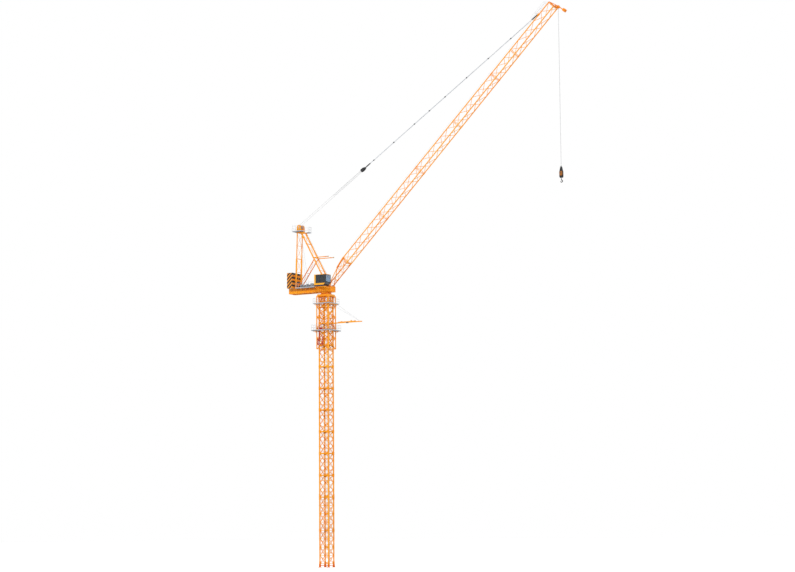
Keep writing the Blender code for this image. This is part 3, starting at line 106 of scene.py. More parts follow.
class Batch:
    """Closed solids of one body gathered into one mesh."""

    def __init__(self, body):
        self.body = body
        self.points, self.polygons, self.size = [], [], 0

    def take(self, points, *polygons):
        """Add vertices and arrays of polygons that count from this call's first vertex."""
        points = np.asarray(points, float).reshape(-1, 3)
        self.points.append(points)
        self.polygons += [np.asarray(polygon, int) + self.size for polygon in polygons]
        self.size += len(points)

    def sweep(self, starts, ends, outline, up=Z):
        """Prisms: point = end of the run + a * side + b * rise for each (a, b) of the outline.

        rise is up made square to the run, and side = rise x run, so outlines turn anticlockwise.
        """
        starts, ends = np.broadcast_arrays(np.atleast_2d(starts), np.atleast_2d(ends))
        outline = np.asarray(outline, float)
        run = ends - starts
        run = run / np.linalg.norm(run, axis=1, keepdims=True)
        side = np.cross(np.broadcast_to(up, run.shape), run)
        side = side / np.linalg.norm(side, axis=1, keepdims=True)
        rise = np.cross(run, side)
        across, level = outline.T[..., None]
        shape = across * side[:, None] + level * rise[:, None]
        rings = np.stack([starts[:, None] + shape, ends[:, None] + shape], axis=1)
        low, high = np.moveaxis(np.arange(rings[..., 0].size).reshape(rings.shape[:3]), 1, 0)
        self.take(rings, walls(low, high), low[:, ::-1], high)

    def bar(self, middle, reach, outline, up=Z):
        """Prism from middle - reach to middle + reach."""
        self.sweep(np.asarray(middle) - reach, np.asarray(middle) + reach, outline, up)

    def tubes(self, starts, ends, radius, sides=8):
        """Round tubes; the rise is turned away from any run that is upright."""
        self.sweep(starts, ends, circle(radius, sides), up=TUBE_LEAN)

    def rod(self, middle, reach, radius, sides=8):
        """Round tube from middle - reach to middle + reach."""
        self.tubes(np.asarray(middle) - reach, np.asarray(middle) + reach, radius, sides)

    def boxes(self, centres, size):
        """Upright blocks of one size."""
        centres = np.atleast_2d(centres)
        half = np.array((size[0] / 2, 0, 0))
        self.sweep(centres - half, centres + half, rectangle(size[1], size[2]))

    def plate(self, outline, y, thickness):
        """Plate in the upright plane through y, drawn as (x, z)."""
        middle = np.array((0, y, 0))
        self.sweep(middle + Y * thickness / 2, middle - Y * thickness / 2, outline)

    def sheet(self, outline, z, thickness):
        """Level plate drawn as (x, y); its bottom lies at z."""
        outline = np.asarray(outline, float)[:, ::-1] * (-1, 1)
        self.sweep((0, 0, z), (0, 0, z + thickness), outline, up=X)

    def lathe(self, centre, axis, profile, steps=24, ring=False):
        """Turned solid: point = centre + a * axis + r * (cos t, sin t) round the axis.

        profile holds (a, r) pairs from one end to the other, or round a ring's section.
        """
        profile = np.asarray(profile, float)
        axis = np.asarray(axis, float)
        first = unit(np.cross(axis, LATHE_LEAN))
        second = np.cross(axis, first)
        turn = around(steps)
        round_trip = np.cos(turn)[:, None] * first + np.sin(turn)[:, None] * second
        along, radius = profile[:, 0, None, None], profile[:, 1, None, None]
        self.skin(np.asarray(centre, float) + along * axis + radius * round_trip, ring)

    def skin(self, rings, ring=False):
        """Surface over rings of points, closed by a cap at each end, or by itself round a ring."""
        grid = np.arange(rings[..., 0].size).reshape(rings.shape[:2])
        if ring:
            self.take(rings, walls(grid, np.roll(grid, -1, 0)))
        else:
            self.take(rings, walls(grid[:-1], grid[1:]), grid[:1, ::-1], grid[-1:])

    def hose(self, points, radius, sides=8):
        """Tube through points: each ring stands square to the mean of its two runs."""
        points = np.asarray(points, float)
        run = np.gradient(points, axis=0)
        run /= np.linalg.norm(run, axis=1, keepdims=True)
        side = np.cross(run, HOSE_LEAN)
        side /= np.linalg.norm(side, axis=1, keepdims=True)
        rise = np.cross(run, side)
        across, level = circle(radius, sides).T[..., None]
        self.skin(points[:, None] + across * side[:, None] + level * rise[:, None])

    def wedge(self, corners, reach):
        """Three-cornered plate, reach thick to either side of its corners."""
        if np.cross(corners[1] - corners[0], corners[2] - corners[0]) @ reach < 0:
            corners = corners[::-1]
        turn = np.arange(3)[None]
        self.take([*(corners - reach), *(corners + reach)], walls(turn, turn + 3), turn[:, ::-1], turn + 3)

    def ball(self, points):
        """Closed surface on a grid whose first and last rows are one point each."""
        poles, points = points[[0, -1], 0], points[1:-1]
        grid = np.arange(points[..., 0].size).reshape(points.shape[:2])
        low, high = np.full(grid.shape[1], grid.size), np.full(grid.shape[1], grid.size + 1)
        first = np.stack([low, np.roll(grid[0], -1), grid[0]], -1)
        last = np.stack([grid[-1], np.roll(grid[-1], -1), high], -1)
        self.take([*points.reshape(-1, 3), *poles], walls(grid[:-1], grid[1:]), first, last)

    def piece(self, name, material, *stands_for, bevel=0, smooth=32):
        """Turn the batch into an object, in metres and at its place, and give it to its body."""
        points = np.concatenate(self.points) / PER_METRE
        matrix = np.array(PLACES[self.body])
        points = points @ matrix[:3, :3].T + matrix[:3, 3]
        mesh = bpy.data.meshes.new(name)
        mesh.vertices.add(len(points))
        mesh.vertices.foreach_set("co", points.astype(np.float32).ravel())
        corners = np.concatenate([polygon.ravel() for polygon in self.polygons])
        totals = np.concatenate([np.full(len(polygon), polygon.shape[1]) for polygon in self.polygons])
        mesh.loops.add(len(corners))
        mesh.loops.foreach_set("vertex_index", corners.astype(np.int32))
        mesh.polygons.add(len(totals))
        mesh.polygons.foreach_set("loop_start", (np.cumsum(totals) - totals).astype(np.int32))
        mesh.update(calc_edges=True)
        mesh.validate()
        mesh.shade_smooth()
        mesh.set_sharp_from_angle(angle=math.radians(smooth))
        mesh.materials.append(material)
        piece = bpy.data.objects.new(name, mesh)
        bpy.context.scene.collection.objects.link(piece)
        if bevel:
            edge = piece.modifiers.new("edge", "BEVEL")
            edge.width, edge.segments, edge.limit_method = bevel / PER_METRE, 2, "ANGLE"
        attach(piece, self.body)
        if stands_for:
            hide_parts(*stands_for)
        return piece


def unit(vector):
    """The vector at a length of one."""
    return vector / np.linalg.norm(vector)


def around(count):
    """Even steps of one turn."""
    return np.arange(count) * 2 * math.pi / count


def arc(across, level, radius, turns):
    """Points across + radius * cos(turn), level + radius * sin(turn)."""
    return np.stack([across + radius * np.cos(turns), level + radius * np.sin(turns)], 1)


def batches(body, count):
    """Empty batches of one body, one for each material."""
    return (Batch(body) for _ in range(count))


def circle(radius, sides):
    """Points of a regular outline, anticlockwise."""
    return arc(0, 0, radius, around(sides) + math.pi / sides)


def rectangle(width, height):
    """Rectangle about the middle, anticlockwise."""
    return np.array(((-1, -1), (1, -1), (1, 1), (-1, 1))) * (width / 2, height / 2)


def square_tube(width, chamfer):
    """Square with its corners cut off, anticlockwise."""
    a, b = width / 2, width / 2 - chamfer
    return np.array(((-b, -a), (b, -a), (a, -b), (a, b), (b, a), (-b, a), (-a, b), (-a, -b)))


LIGHT_BEAM = square_tube(11.8, 1.6)


def beam_section(width, height, web, flange):
    """Outline of an I-beam, anticlockwise."""
    a, b, c, d = width / 2, height / 2, web / 2, height / 2 - flange
    return np.array(((-a, -b), (a, -b), (a, -d), (c, -d), (c, d), (a, d), (a, b), (-a, b), (-a, d), (-c, d),
        (-c, -d), (-a, -d)))


def channel_section(width, height, wall):
    """Outline of a channel that opens to +side, anticlockwise."""
    a, b = width / 2, height / 2
    return np.array(((-a, -b), (a, -b), (a, wall - b), (wall - a, wall - b), (wall - a, b - wall),
        (a, b - wall), (a, b), (-a, b)))


def place_at(origin, pitch=0.0):
    """Matrix that lifts +X by pitch above the level and moves it to origin."""
    return Matrix.Translation(Vector(origin)) @ Matrix.Rotation(-pitch, 4, "Y")


# ---------------------------------------------------------------- finishes
class Value:
    """Socket of a shader that takes arithmetic: each operation adds its Math node."""

    def __init__(self, finish, socket):
        self.finish, self.socket = finish, socket

    def math(self, operation, *others):
        return self.finish.node("ShaderNodeMath", {"operation": operation}, dict(enumerate((self, *others))))

    def __add__(self, other):
        return self.math("ADD", other)

    def __sub__(self, other):
        return self.math("SUBTRACT", other)

    def __rsub__(self, other):
        return self.math("MULTIPLY_ADD", -1.0, other)

    def __mul__(self, other):
        return self.math("MULTIPLY", other)

    __radd__ = __add__
    __rmul__ = __mul__

    def above(self, edge, soft):
        """0 below the edge and 1 above it, over a band of the width soft."""
        inputs = {"Value": self, "From Min": edge - soft / 2, "From Max": edge + soft / 2}
        return self.finish.node("ShaderNodeMapRange", {"interpolation_type": "SMOOTHSTEP"}, inputs)

    def wrapped(self, period):
        """Remainder from 0 to the period."""
        return self.math("FLOORED_MODULO", period)


class Finish:
    """A material: one Principled shader, and the nodes that vary its look."""

    def __init__(self, name, roughness=0.5, metallic=0.0, **constants):
        self.material = bpy.data.materials.new(name)
        self.material.use_nodes = True
        self.tree = self.material.node_tree
        self.shader = self.tree.nodes["Principled BSDF"]
        self.shader.inputs["Roughness"].default_value = roughness
        self.shader.inputs["Metallic"].default_value = metallic
        for socket, value in constants.items():
            self.shader.inputs[socket.replace("_", " ")].default_value = value
        place = self.tree.nodes.new("ShaderNodeTexCoord")
        self.place = Value(self, place.outputs["Object"])
        self.x, self.y, self.z = self.parts(self.place)
        self.facing_x, self.facing_y, self.facing_z = self.parts(Value(self, place.outputs["Normal"]))

    def node(self, kind, settings=None, inputs=None, output=0):
        """Add a node: settings first, then the values or links of its sockets."""
        node = self.tree.nodes.new(kind)
        for key, value in (settings or {}).items():
            setattr(node, key, value)
        for key, value in (inputs or {}).items():
            self.feed(node.inputs[key], value)
        return Value(self, node.outputs[output])

    def feed(self, socket, value):
        """Link a computed value to the socket, or set a plain one."""
        if isinstance(value, Value):
            self.tree.links.new(value.socket, socket)
        else:
            socket.default_value = value

    def parts(self, vector):
        """x, y and z of a vector."""
        node = self.tree.nodes.new("ShaderNodeSeparateXYZ")
        self.feed(node.inputs[0], vector)
        return [Value(self, output) for output in node.outputs]

    def noise(self, scale, detail=3.0, stretch=None):
        """Cloudy pattern, scale features a metre; stretch squeezes it along each axis."""
        place = self.place
        if stretch is not None:
            place = self.node("ShaderNodeMapping", None, {"Vector": place, "Scale": stretch})
        return self.node("ShaderNodeTexNoise", None, {"Vector": place, "Scale": scale, "Detail": detail})

    def cells(self, scale):
        """Random tone for each cell of a Voronoi pattern."""
        inputs = {"Vector": self.place, "Scale": scale}
        return self.parts(self.node("ShaderNodeTexVoronoi", None, inputs, output=1))[0]

    def blend(self, share, first, second):
        """Colour between two colours."""
        inputs = {0: share, 6: colour(first), 7: colour(second)}
        return self.node("ShaderNodeMix", {"data_type": "RGBA"}, inputs, output=2)

    def finish(self, base, roughness=None, height=None, depth=0.0004, metallic=None):
        """Feed the shader; height is the surface's relief, from 0 to depth metres."""
        self.feed(self.shader.inputs["Base Color"], colour(base))
        if roughness is not None:
            self.feed(self.shader.inputs["Roughness"], roughness)
        if metallic is not None:
            self.feed(self.shader.inputs["Metallic"], metallic)
        if height is not None:
            bump = self.node("ShaderNodeBump", None, {"Height": height, "Distance": depth, "Strength": 1.0})
            self.feed(self.shader.inputs["Normal"], bump)
        return self.material


def colour(value):
    """Linear colour from a written #RRGGBB one; anything else passes through."""
    if not isinstance(value, str):
        return value
    parts = np.array([int(value[place:place + 2], 16) for place in (1, 3, 5)]) / 255
    linear = np.where(parts <= 0.04045, parts / 12.92, ((parts + 0.055) / 1.055) ** 2.4)
    return (*linear.tolist(), 1.0)


def painted_steel(name, fresh, faded, grime="#6A4320", gloss=0.42):
    """Weathered coat: patches of faded colour, dust on top faces, runs of grime and small chips."""
    coat = Finish(name, Specular_IOR_Level=0.26)
    patches = coat.noise(2.3, 4.0).above(0.5, 0.35)
    mottle = coat.noise(55.0, 4.0)
    runs = coat.noise(9.0, 4.0, (6.0, 6.0, 0.5)).above(0.62, 0.16)
    chips = coat.noise(210.0, 2.0).above(0.77, 0.03)
    dust = coat.facing_z.above(0.7, 0.4) * coat.noise(34.0, 5.0).above(0.5, 0.3)
    base = coat.blend(patches, fresh, faded)
    base = coat.blend(mottle.above(0.55, 0.4) * 0.25, base, faded)
    base = coat.blend(runs * 0.16, base, grime)
    base = coat.blend(dust * 0.12, base, "#C9AE86")
    base = coat.blend(chips * 0.5, base, "#7A4422")
    roughness = gloss + mottle * 0.14 + dust * 0.2 + chips * 0.3
    orange_peel = coat.noise(900.0, 2.0) * 0.3 - chips * 0.7
    return coat.finish(base, roughness, orange_peel, 0.00012)


def zinc(name, dark, light, metallic=0.55, spangle=420.0):
    """Galvanised steel: spangle in crystals of a few millimetres, dull patches and white bloom."""
    coat = Finish(name)
    crystals = coat.cells(spangle)
    patches = coat.noise(6.0, 4.0).above(0.5, 0.4)
    bloom = coat.noise(60.0, 5.0).above(0.66, 0.12)
    base = coat.blend(crystals * 0.55 + patches * 0.45, dark, light)
    base = coat.blend(bloom * 0.4, base, "#D5D6D4")
    roughness = 0.36 + crystals * 0.16 + bloom * 0.25
    return coat.finish(base, roughness, crystals * 0.4, 0.00008, metallic - bloom * 0.3)


def cast_paint(name, dark, light, gloss=0.5):
    """Machine enamel over a slightly rough casting, with oil film and rubbed spots."""
    coat = Finish(name)
    skin = coat.noise(260.0, 4.0)
    film = coat.noise(24.0, 4.0).above(0.54, 0.25)
    rubbed = coat.noise(120.0, 3.0).above(0.7, 0.06)
    base = coat.blend(skin.above(0.5, 0.5), dark, light)
    base = coat.blend(film * 0.35, base, "#15140F")
    base = coat.blend(rubbed * 0.6, base, "#8C8F92")
    return coat.finish(base, gloss - film * 0.16 + skin * 0.12, skin, 0.0002)


def striped_slab():
    """Painted concrete: slanting stripes on the sides, level bars on the faces, pitted skin.

    stripe = remainder of (z - x) by the pitch on a side, of z by the bar pitch on a face.
    """
    coat = Finish("counterweight_coat")
    pits = coat.node("ShaderNodeTexVoronoi", None, {"Vector": coat.place, "Scale": 380.0})
    pores = 1 - pits.above(0.22, 0.16)
    skin = coat.noise(42.0, 6.0)
    low = WEIGHT_LOW[2]
    pitch, bar_pitch = 0.069, WEIGHT_SIZE[2] / 4
    slant = (coat.z - coat.x + (10.0 - low)).wrapped(pitch).above(pitch * 0.45, 0.0012)
    level = (coat.z - low).wrapped(bar_pitch).above(bar_pitch * 0.47, 0.0012)
    on_side = coat.facing_y.math("ABSOLUTE").above(0.6, 0.1)
    on_top = coat.facing_z.math("ABSOLUTE").above(0.8, 0.1)
    stripe = slant * on_side + level * (1 - on_side)
    scuffs = coat.noise(18.0, 5.0, (1.0, 1.0, 0.4)).above(0.62, 0.12)
    base = coat.blend(stripe, "#F79A1C", "#070A12")
    base = coat.blend(on_top * 0.9, base, "#A9A39A")
    base = coat.blend(scuffs * 0.14, base, "#9C8F7E")
    base = coat.blend(pores * 0.2, base, "#4B3F30")
    base = coat.blend(skin.above(0.5, 0.5) * 0.08, base, "#5A4A34")
    return coat.finish(base, 0.62 + skin * 0.2, skin * 0.5 - pores * 0.5, 0.0007)


def rope_steel(name, dark, light):
    """Greased wire: fine wires across the strands, pale where they rub."""
    coat = Finish(name)
    wires = coat.noise(1600.0, 2.0)
    rubbed = coat.noise(35.0, 3.0).above(0.55, 0.3)
    base = coat.blend(wires * 0.6 + rubbed * 0.4, dark, light)
    return coat.finish(base, 0.34 + wires * 0.22, wires, 0.00006, 0.6 + rubbed * 0.25)


def bare_steel(name, tone, shade, roughness=0.28):
    """Machined or rolled steel with fine scratches and a little tarnish."""
    coat = Finish(name, metallic=0.9)
    scratches = coat.noise(700.0, 3.0, (1.0, 1.0, 6.0))
    tarnish = coat.noise(30.0, 4.0).above(0.55, 0.25)
    base = coat.blend(tarnish * 0.6, tone, shade)
    return coat.finish(base, roughness + scratches * 0.16 + tarnish * 0.2, scratches, 0.00004)


def pane(name, tint, alpha):
    """Tinted glass with a thin film of dust in its lower part."""
    coat = Finish(name, roughness=0.06, Coat_Weight=0.4, Coat_Roughness=0.03)
    dust = coat.noise(60.0, 6.0, (1.0, 1.0, 0.5)).above(0.66, 0.3)
    base = coat.blend(dust * 0.12, tint, "#9AA0A6")
    material = coat.finish(base, 0.05 + dust * 0.16)
    coat.feed(coat.shader.inputs["Alpha"], dust * 0.05 + alpha)
    return material


def upholstery(name, dark, light):
    """Woven cloth: two crossed sets of threads a millimetre apart."""
    coat = Finish(name, roughness=0.85)
    threads = [(axis * (2 * math.pi / 0.0011)).math("SINE") for axis in (coat.x + coat.y, coat.z - coat.y)]
    weave = threads[0] * threads[1] * 0.5 + 0.5
    base = coat.blend(weave * 0.6 + coat.noise(30.0) * 0.4, dark, light)
    return coat.finish(base, 0.8 + weave * 0.12, weave, 0.0002)


def moulded(name, dark, light, roughness=0.55):
    """Moulded rubber or plastic with a fine grain."""
    coat = Finish(name)
    grain = coat.noise(1300.0, 2.0)
    worn = coat.noise(40.0, 3.0).above(0.58, 0.2)
    base = coat.blend(worn * 0.5 + grain * 0.3, dark, light)
    return coat.finish(base, roughness + worn * 0.15, grain, 0.00012)


# ---------------------------------------------------------------- camera, floor and light
MAST = np.array((JOINTS["slew"][0], JOINTS["slew"][1], 0.0))


VIEW_ANGLES = np.radians((31.02, 2.077, 7.22, -0.448))
SENSOR_MM, LENS_MM, FAR_CLIP = 36.0, 89.74, 400.0
EYE_FROM_MAST = (18.864, -31.364, 0.541)


def rotated(first, second, angle):
    """Two vectors square to each other, turned in their plane from the first towards the second."""
    cosine, sine = math.cos(angle), math.sin(angle)
    return first * cosine + second * sine, second * cosine - first * sine


def camera():
    """The photograph's view: far off, low, and turned a little off the mast."""
    azimuth, turn, pitch, roll = VIEW_ANGLES.tolist()
    ahead = np.array((-math.sin(azimuth), math.cos(azimuth), 0))
    right = np.array((math.cos(azimuth), math.sin(azimuth), 0))
    ahead, right = rotated(ahead, right, turn)
    ahead, up = rotated(ahead, Z, pitch)
    right, up = rotated(right, up, roll)
    data = bpy.data.cameras.new("photo_camera")
    data.sensor_width, data.lens, data.clip_end = SENSOR_MM, LENS_MM, FAR_CLIP
    eye = bpy.data.objects.new("photo_camera", data)
    facing = Matrix(np.stack([right, up, -ahead], 1).tolist()).to_4x4()
    eye.matrix_world = Matrix.Translation(Vector(MAST + EYE_FROM_MAST)) @ facing
    bpy.context.scene.collection.objects.link(eye)
    bpy.context.scene.camera = eye


def studio_floor():
    """Pale floor that shows as white to the camera and keeps the shadow."""
    width, level = 520.0, -0.0005
    mesh = bpy.data.meshes.new("studio_floor")
    corners = [(x, y, level) for x, y in rectangle(width, width).tolist()]
    mesh.from_pydata(corners, [], [(0, 1, 2, 3)])
    floor = bpy.data.objects.new("studio_floor", mesh)
    bpy.context.scene.collection.objects.link(floor)
    coat = Finish("floor_white", roughness=0.95)
    speckle = coat.noise(3.0, 4.0)
    camera_ray = coat.node("ShaderNodeLightPath")
    coat.feed(coat.shader.inputs["Emission Color"], coat.blend(camera_ray, "#000000", "#FFFFFF"))
    coat.shader.inputs["Emission Strength"].default_value = 0.5
    mesh.materials.append(coat.finish(coat.blend(speckle, "#F4F4F3", "#F9F9F8")))
    floor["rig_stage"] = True


def studio_light():
    """Broad soft lamps round the crane and an even world; the background itself is white."""
    lamps = (((14, -22, 20), 15, 3300), ((-20, -12, 14), 18, 1500), ((6, 24, 16), 18, 1500))
    aim = Vector((1, 0, 5))
    for number, (place, size, power) in enumerate(lamps):
        data = bpy.data.lights.new(f"softbox_{number}", "AREA")
        data.shape, data.size, data.energy = "DISK", size, power
        lamp = bpy.data.objects.new(f"softbox_{number}", data)
        lamp.location = place
        lamp.rotation_euler = (aim - Vector(place)).to_track_quat("-Z", "Y").to_euler()
        bpy.context.scene.collection.objects.link(lamp)
    world = bpy.data.worlds.new("studio")
    world.use_nodes = True
    bpy.context.scene.world = world
    tree = world.node_tree
    tree.nodes.clear()
    path, seen, also = (tree.nodes.new(f"ShaderNode{kind}") for kind in ("LightPath", "Math", "Math"))
    seen.operation = also.operation = "MAXIMUM"
    tree.links.new(path.outputs["Is Camera Ray"], seen.inputs[0])
    tree.links.new(path.outputs["Is Glossy Ray"], seen.inputs[1])
    tree.links.new(seen.outputs[0], also.inputs[0])
    tree.links.new(path.outputs["Is Transmission Ray"], also.inputs[1])
    light, white = tree.nodes.new("ShaderNodeBackground"), tree.nodes.new("ShaderNodeBackground")
    light.inputs["Color"].default_value = (0.93, 0.95, 1.0, 1.0)
    light.inputs["Strength"].default_value = 0.62
    white.inputs["Color"].default_value = (1.0, 1.0, 1.0, 1.0)
    mix = tree.nodes.new("ShaderNodeMixShader")
    tree.links.new(also.outputs[0], mix.inputs[0])
    tree.links.new(light.outputs[0], mix.inputs[1])
    tree.links.new(white.outputs[0], mix.inputs[2])
    tree.links.new(mix.outputs[0], tree.nodes.new("ShaderNodeOutputWorld").inputs[0])
    bpy.context.scene.view_settings.view_transform = "Standard"


camera()
studio_light()
studio_floor()

# ---------------------------------------------------------------- places and paint
JIB_PITCH, LINE_PITCH = math.radians(45), math.radians(34.2421)
PLACES = {"mast": place_at(MAST), "upper_works": place_at(JOINTS["slew"])}
PLACES["jib"] = place_at(JOINTS["luff"], JIB_PITCH)
PLACES["luffing_falls"] = place_at(JOINTS["luffing_falls_pivot"], LINE_PITCH)
PLACES["pendant"] = place_at(JOINTS["pendant_pivot"], LINE_PITCH)
PLACES["hoist"] = PLACES["hook"] = place_at(JOINTS["hoist_pivot"])
WEIGHT_LOW, WEIGHT_HIGH = (np.array(corner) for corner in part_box("counterweight_front"))
WEIGHT_SIZE = WEIGHT_HIGH - WEIGHT_LOW

ORANGE = painted_steel("crane_orange_coat", "#FA9A04", "#FFAC1C")
BRIGHT_ORANGE = painted_steel("jib_orange_coat", "#FF9E04", "#FFB224")
DEEP_ORANGE = painted_steel("root_orange_coat", "#EE7C04", "#F49214")
FOOT_ORANGE = painted_steel("foot_orange_coat", "#EC740A", "#F08A1C")
DECK_BROWN = painted_steel("deck_brown_coat", "#C06A14", "#CF8028")
RED = painted_steel("hydraulic_red_coat", "#A5121A", "#B92A28", "#2E0C0A", 0.3)
CAB_YELLOW = painted_steel("cab_yellow_coat", "#F8A010", "#F6B030", gloss=0.3)
NAVY = painted_steel("navy_coat", "#0C1C3C", "#15294C", "#0A0D12", 0.32)
PLATE_BROWN = painted_steel("hook_plate_coat", "#7E4512", "#A5682A")
ZINC = zinc("galvanised_coat", "#7E838A", "#B2B6BC")
PALE_ZINC = zinc("rail_coat", "#A3A7AD", "#CACCD0", 0.3)
ROD_ZINC = zinc("pendant_coat", "#A5AAB0", "#CED1D5", 0.35)
WINCH_GREY = cast_paint("winch_enamel", "#7B7F86", "#9FA3A9")
BOX_GREY = cast_paint("cabinet_enamel", "#8A97A6", "#A3AEBA", 0.42)
BLACK = cast_paint("block_enamel", "#0B0C0F", "#16181C", 0.45)
SLAB = striped_slab()
ROPE = rope_steel("rope_wire", "#6A6C70", "#A6A8AB")
BRIGHT = bare_steel("bright_steel", "#B9BCC0", "#85878A")
DARK_STEEL = bare_steel("dark_steel", "#54565A", "#34353A", 0.36)
SIDE_GLASS = pane("side_window_glass", "#20262B", 0.82)
FRONT_GLASS = pane("front_window_glass", "#86A9C8", 0.62)
CLOTH = upholstery("seat_cloth", "#1B1D22", "#34373E")
RUBBER = moulded("rubber", "#101012", "#222326", 0.7)
BUFFER_PAD = moulded("buffer_pad", "#C7A878", "#DCC49C", 0.6)
PLASTIC = moulded("console_plastic", "#2A2C30", "#3D4046")


# ---------------------------------------------------------------- mast
SIDE = 185
HALF = SIDE / 2
CHORD = 22
BASE_SECTION, SHAFT_SECTION, SHAFT_SECTIONS = 606, 400, 9
FOOT = 66
BASE_TOP = FOOT + 2 * BASE_SECTION
MAST_TOP = BASE_TOP + SHAFT_SECTIONS * SHAFT_SECTION
RING_LEVEL = JOINTS["slew"][2] * PER_METRE
JOINT_LEVELS = np.array([FOOT + BASE_SECTION, BASE_TOP] + [BASE_TOP + SHAFT_SECTION * n for n in range(1,
    SHAFT_SECTIONS)])
TURNS = {"near": 0, "right": 1, "far": 2, "left": 3}


def on_side(side, across, level, out=0):
    """Points of one mast side, seen from outside: across to the right, level up, out towards the viewer.

    A quarter turn about the mast's axis takes the near side to the right, far and left ones.
    """
    across, level, out = np.broadcast_arrays(across, level, out)
    points = np.stack([across, -HALF - out, level], -1).astype(float)
    for _ in range(TURNS[side]):
        points = np.stack([-points[..., 1], points[..., 0], points[..., 2]], -1)
    return points


def outward(side):
    """Unit vector out of a mast side."""
    return on_side(side, 0, 0, 1) - on_side(side, 0, 0)


def zigzag(levels, half, first):
    """Ends of the diagonals that run from side to side between the levels."""
    across = half * first * (-1) ** np.arange(len(levels))
    return (across[:-1], levels[:-1]), (across[1:], levels[1:])


def brace(batch, side, starts, ends, width, depth, out=0):
    """Angle bars in a mast side, each with one leg flat and one leg in."""
    a, b, wall = width / 2, depth / 2, 1.6
    leg = (-a, -b), (a, -b), (a, wall - b), (wall - a, wall - b), (wall - a, b), (-a, b)
    batch.sweep(on_side(side, *starts, out), on_side(side, *ends, out), leg, up=-outward(side))


def gussets(batch, side, level, half, size, upward, hands=(-1, 1)):
    """Three-cornered plates in the angle between a joint's strut and each chord."""
    for hand in hands:
        corner = hand * half
        points = np.array(((corner, level), (corner - hand * size, level), (corner, level + upward * size)))
        batch.wedge(on_side(side, *points.T), 1.2 * outward(side))


def chords(batch, side, low, high, joints, bumps):
    """Corner posts of one side with their joint boxes, pins and the small collars between."""
    for hand in (-1, 1):
        foot, top = on_side(side, hand * HALF, low), on_side(side, hand * HALF, high)
        batch.sweep(foot, top, square_tube(CHORD, 3.5), up=X)
        for levels, width, tall in ((joints, 26.5, 50), (bumps, 24.5, 12)):
            if len(levels):
                at = on_side(side, np.full(len(levels), hand * HALF), levels)
                over = np.clip(at + Z * tall / 2, None, (BASE_TOP, BASE_TOP, high))
                under = np.clip(at - Z * tall / 2, (-BASE_TOP, -BASE_TOP, low), None)
                batch.sweep(under, over, square_tube(width, 3), up=X)
        for shift in (-13, 13):
            at = on_side(side, np.full(len(joints), hand * HALF), np.clip(joints + shift, low + 6, high - 6))
            for axis in (X, Y):
                batch.rod(at, axis * 15.5, 3.4, 6)


def mast_base_side(side):
    """Bottom two sections: X bracing in four bays with a strut at each."""
    batch = Batch("mast")
    half = HALF - CHORD / 2 + 2
    levels = FOOT + np.arange(9) * BASE_SECTION / 4
    inner = levels[1:-1]
    full = np.full(len(inner), half)
    for shift in (0, -BASE_SECTION / 12, BASE_SECTION / 12):
        thick = 9 if shift == 0 else 4.5
        brace(batch, side, (-full, inner + shift), (full, inner + shift), thick, thick)
    for first in (-1, 1):
        starts, ends = zigzag(levels, half, first)
        brace(batch, side, starts, ends, 8, 6.2, 3.2 * first)
    for level in (FOOT + 5, BASE_TOP - 5):
        brace(batch, side, (-half, level), (half, level), 9, 9)
    for level in levels[:-1:2]:
        gussets(batch, side, level + 2, half, 30, 1)
    for level in levels[2::2]:
        gussets(batch, side, level - 2, half, 30, -1)
    if side in ("near", "far"):
        joints = np.array((FOOT + 20, FOOT + BASE_SECTION, BASE_TOP - 24))
        chords(batch, side, FOOT + GAP, BASE_TOP - GAP, joints, levels[1:-1])
    batch.piece(f"mast_base_{side}_steel", ORANGE, f"mast_base_{side}")


def mast_shaft_side(side):
    """Nine equal sections: a zigzag of three bays, thin ties at its quarter points, and joint struts."""
    batch = Batch("mast")
    half = HALF - CHORD / 2 + 2
    for number in range(SHAFT_SECTIONS):
        low = BASE_TOP + number * SHAFT_SECTION
        first = 1 if number % 2 == 0 else -1
        starts, ends = zigzag(low + np.arange(4) * SHAFT_SECTION / 3, half, first)
        brace(batch, side, starts, ends, 9.6, 7.5)
        gussets_at = low + np.arange(1, 3) * SHAFT_SECTION / 3
        for level, hand in zip(gussets_at, (-first, first)):
            for upward in (-1, 1):
                gussets(batch, side, level, half, 24, upward, (hand,))
        starts, ends = zigzag(low + np.arange(4) * SHAFT_SECTION / 3, half, -first)
        brace(batch, side, starts, ends, 5.2, 3.6, -4.5)
        ties = low + np.array((95, 304))
        brace(batch, side, (np.full(2, -half), ties), (np.full(2, half), ties), 5.2, 4.6)
        edges = low + np.array((5.5, SHAFT_SECTION - 5.5))
        brace(batch, side, (np.full(2, -half), edges), (np.full(2, half), edges), 10.4, 9.6)
        gussets(batch, side, low + 9, half, 30, 1)
        gussets(batch, side, low + SHAFT_SECTION - 9, half, 30, -1)
    if side in ("near", "far"):
        joints = BASE_TOP + np.arange(1, SHAFT_SECTIONS) * SHAFT_SECTION
        joints = np.concatenate([[BASE_TOP + 26], joints, [MAST_TOP - 26]])
        bumps = np.concatenate([joints[1:-1] + SHAFT_SECTION / 3, joints[1:-1] - SHAFT_SECTION / 3])
        chords(batch, side, BASE_TOP, MAST_TOP - GAP, joints, bumps)
    batch.piece(f"mast_shaft_{side}_steel", ORANGE, f"mast_shaft_{side}")


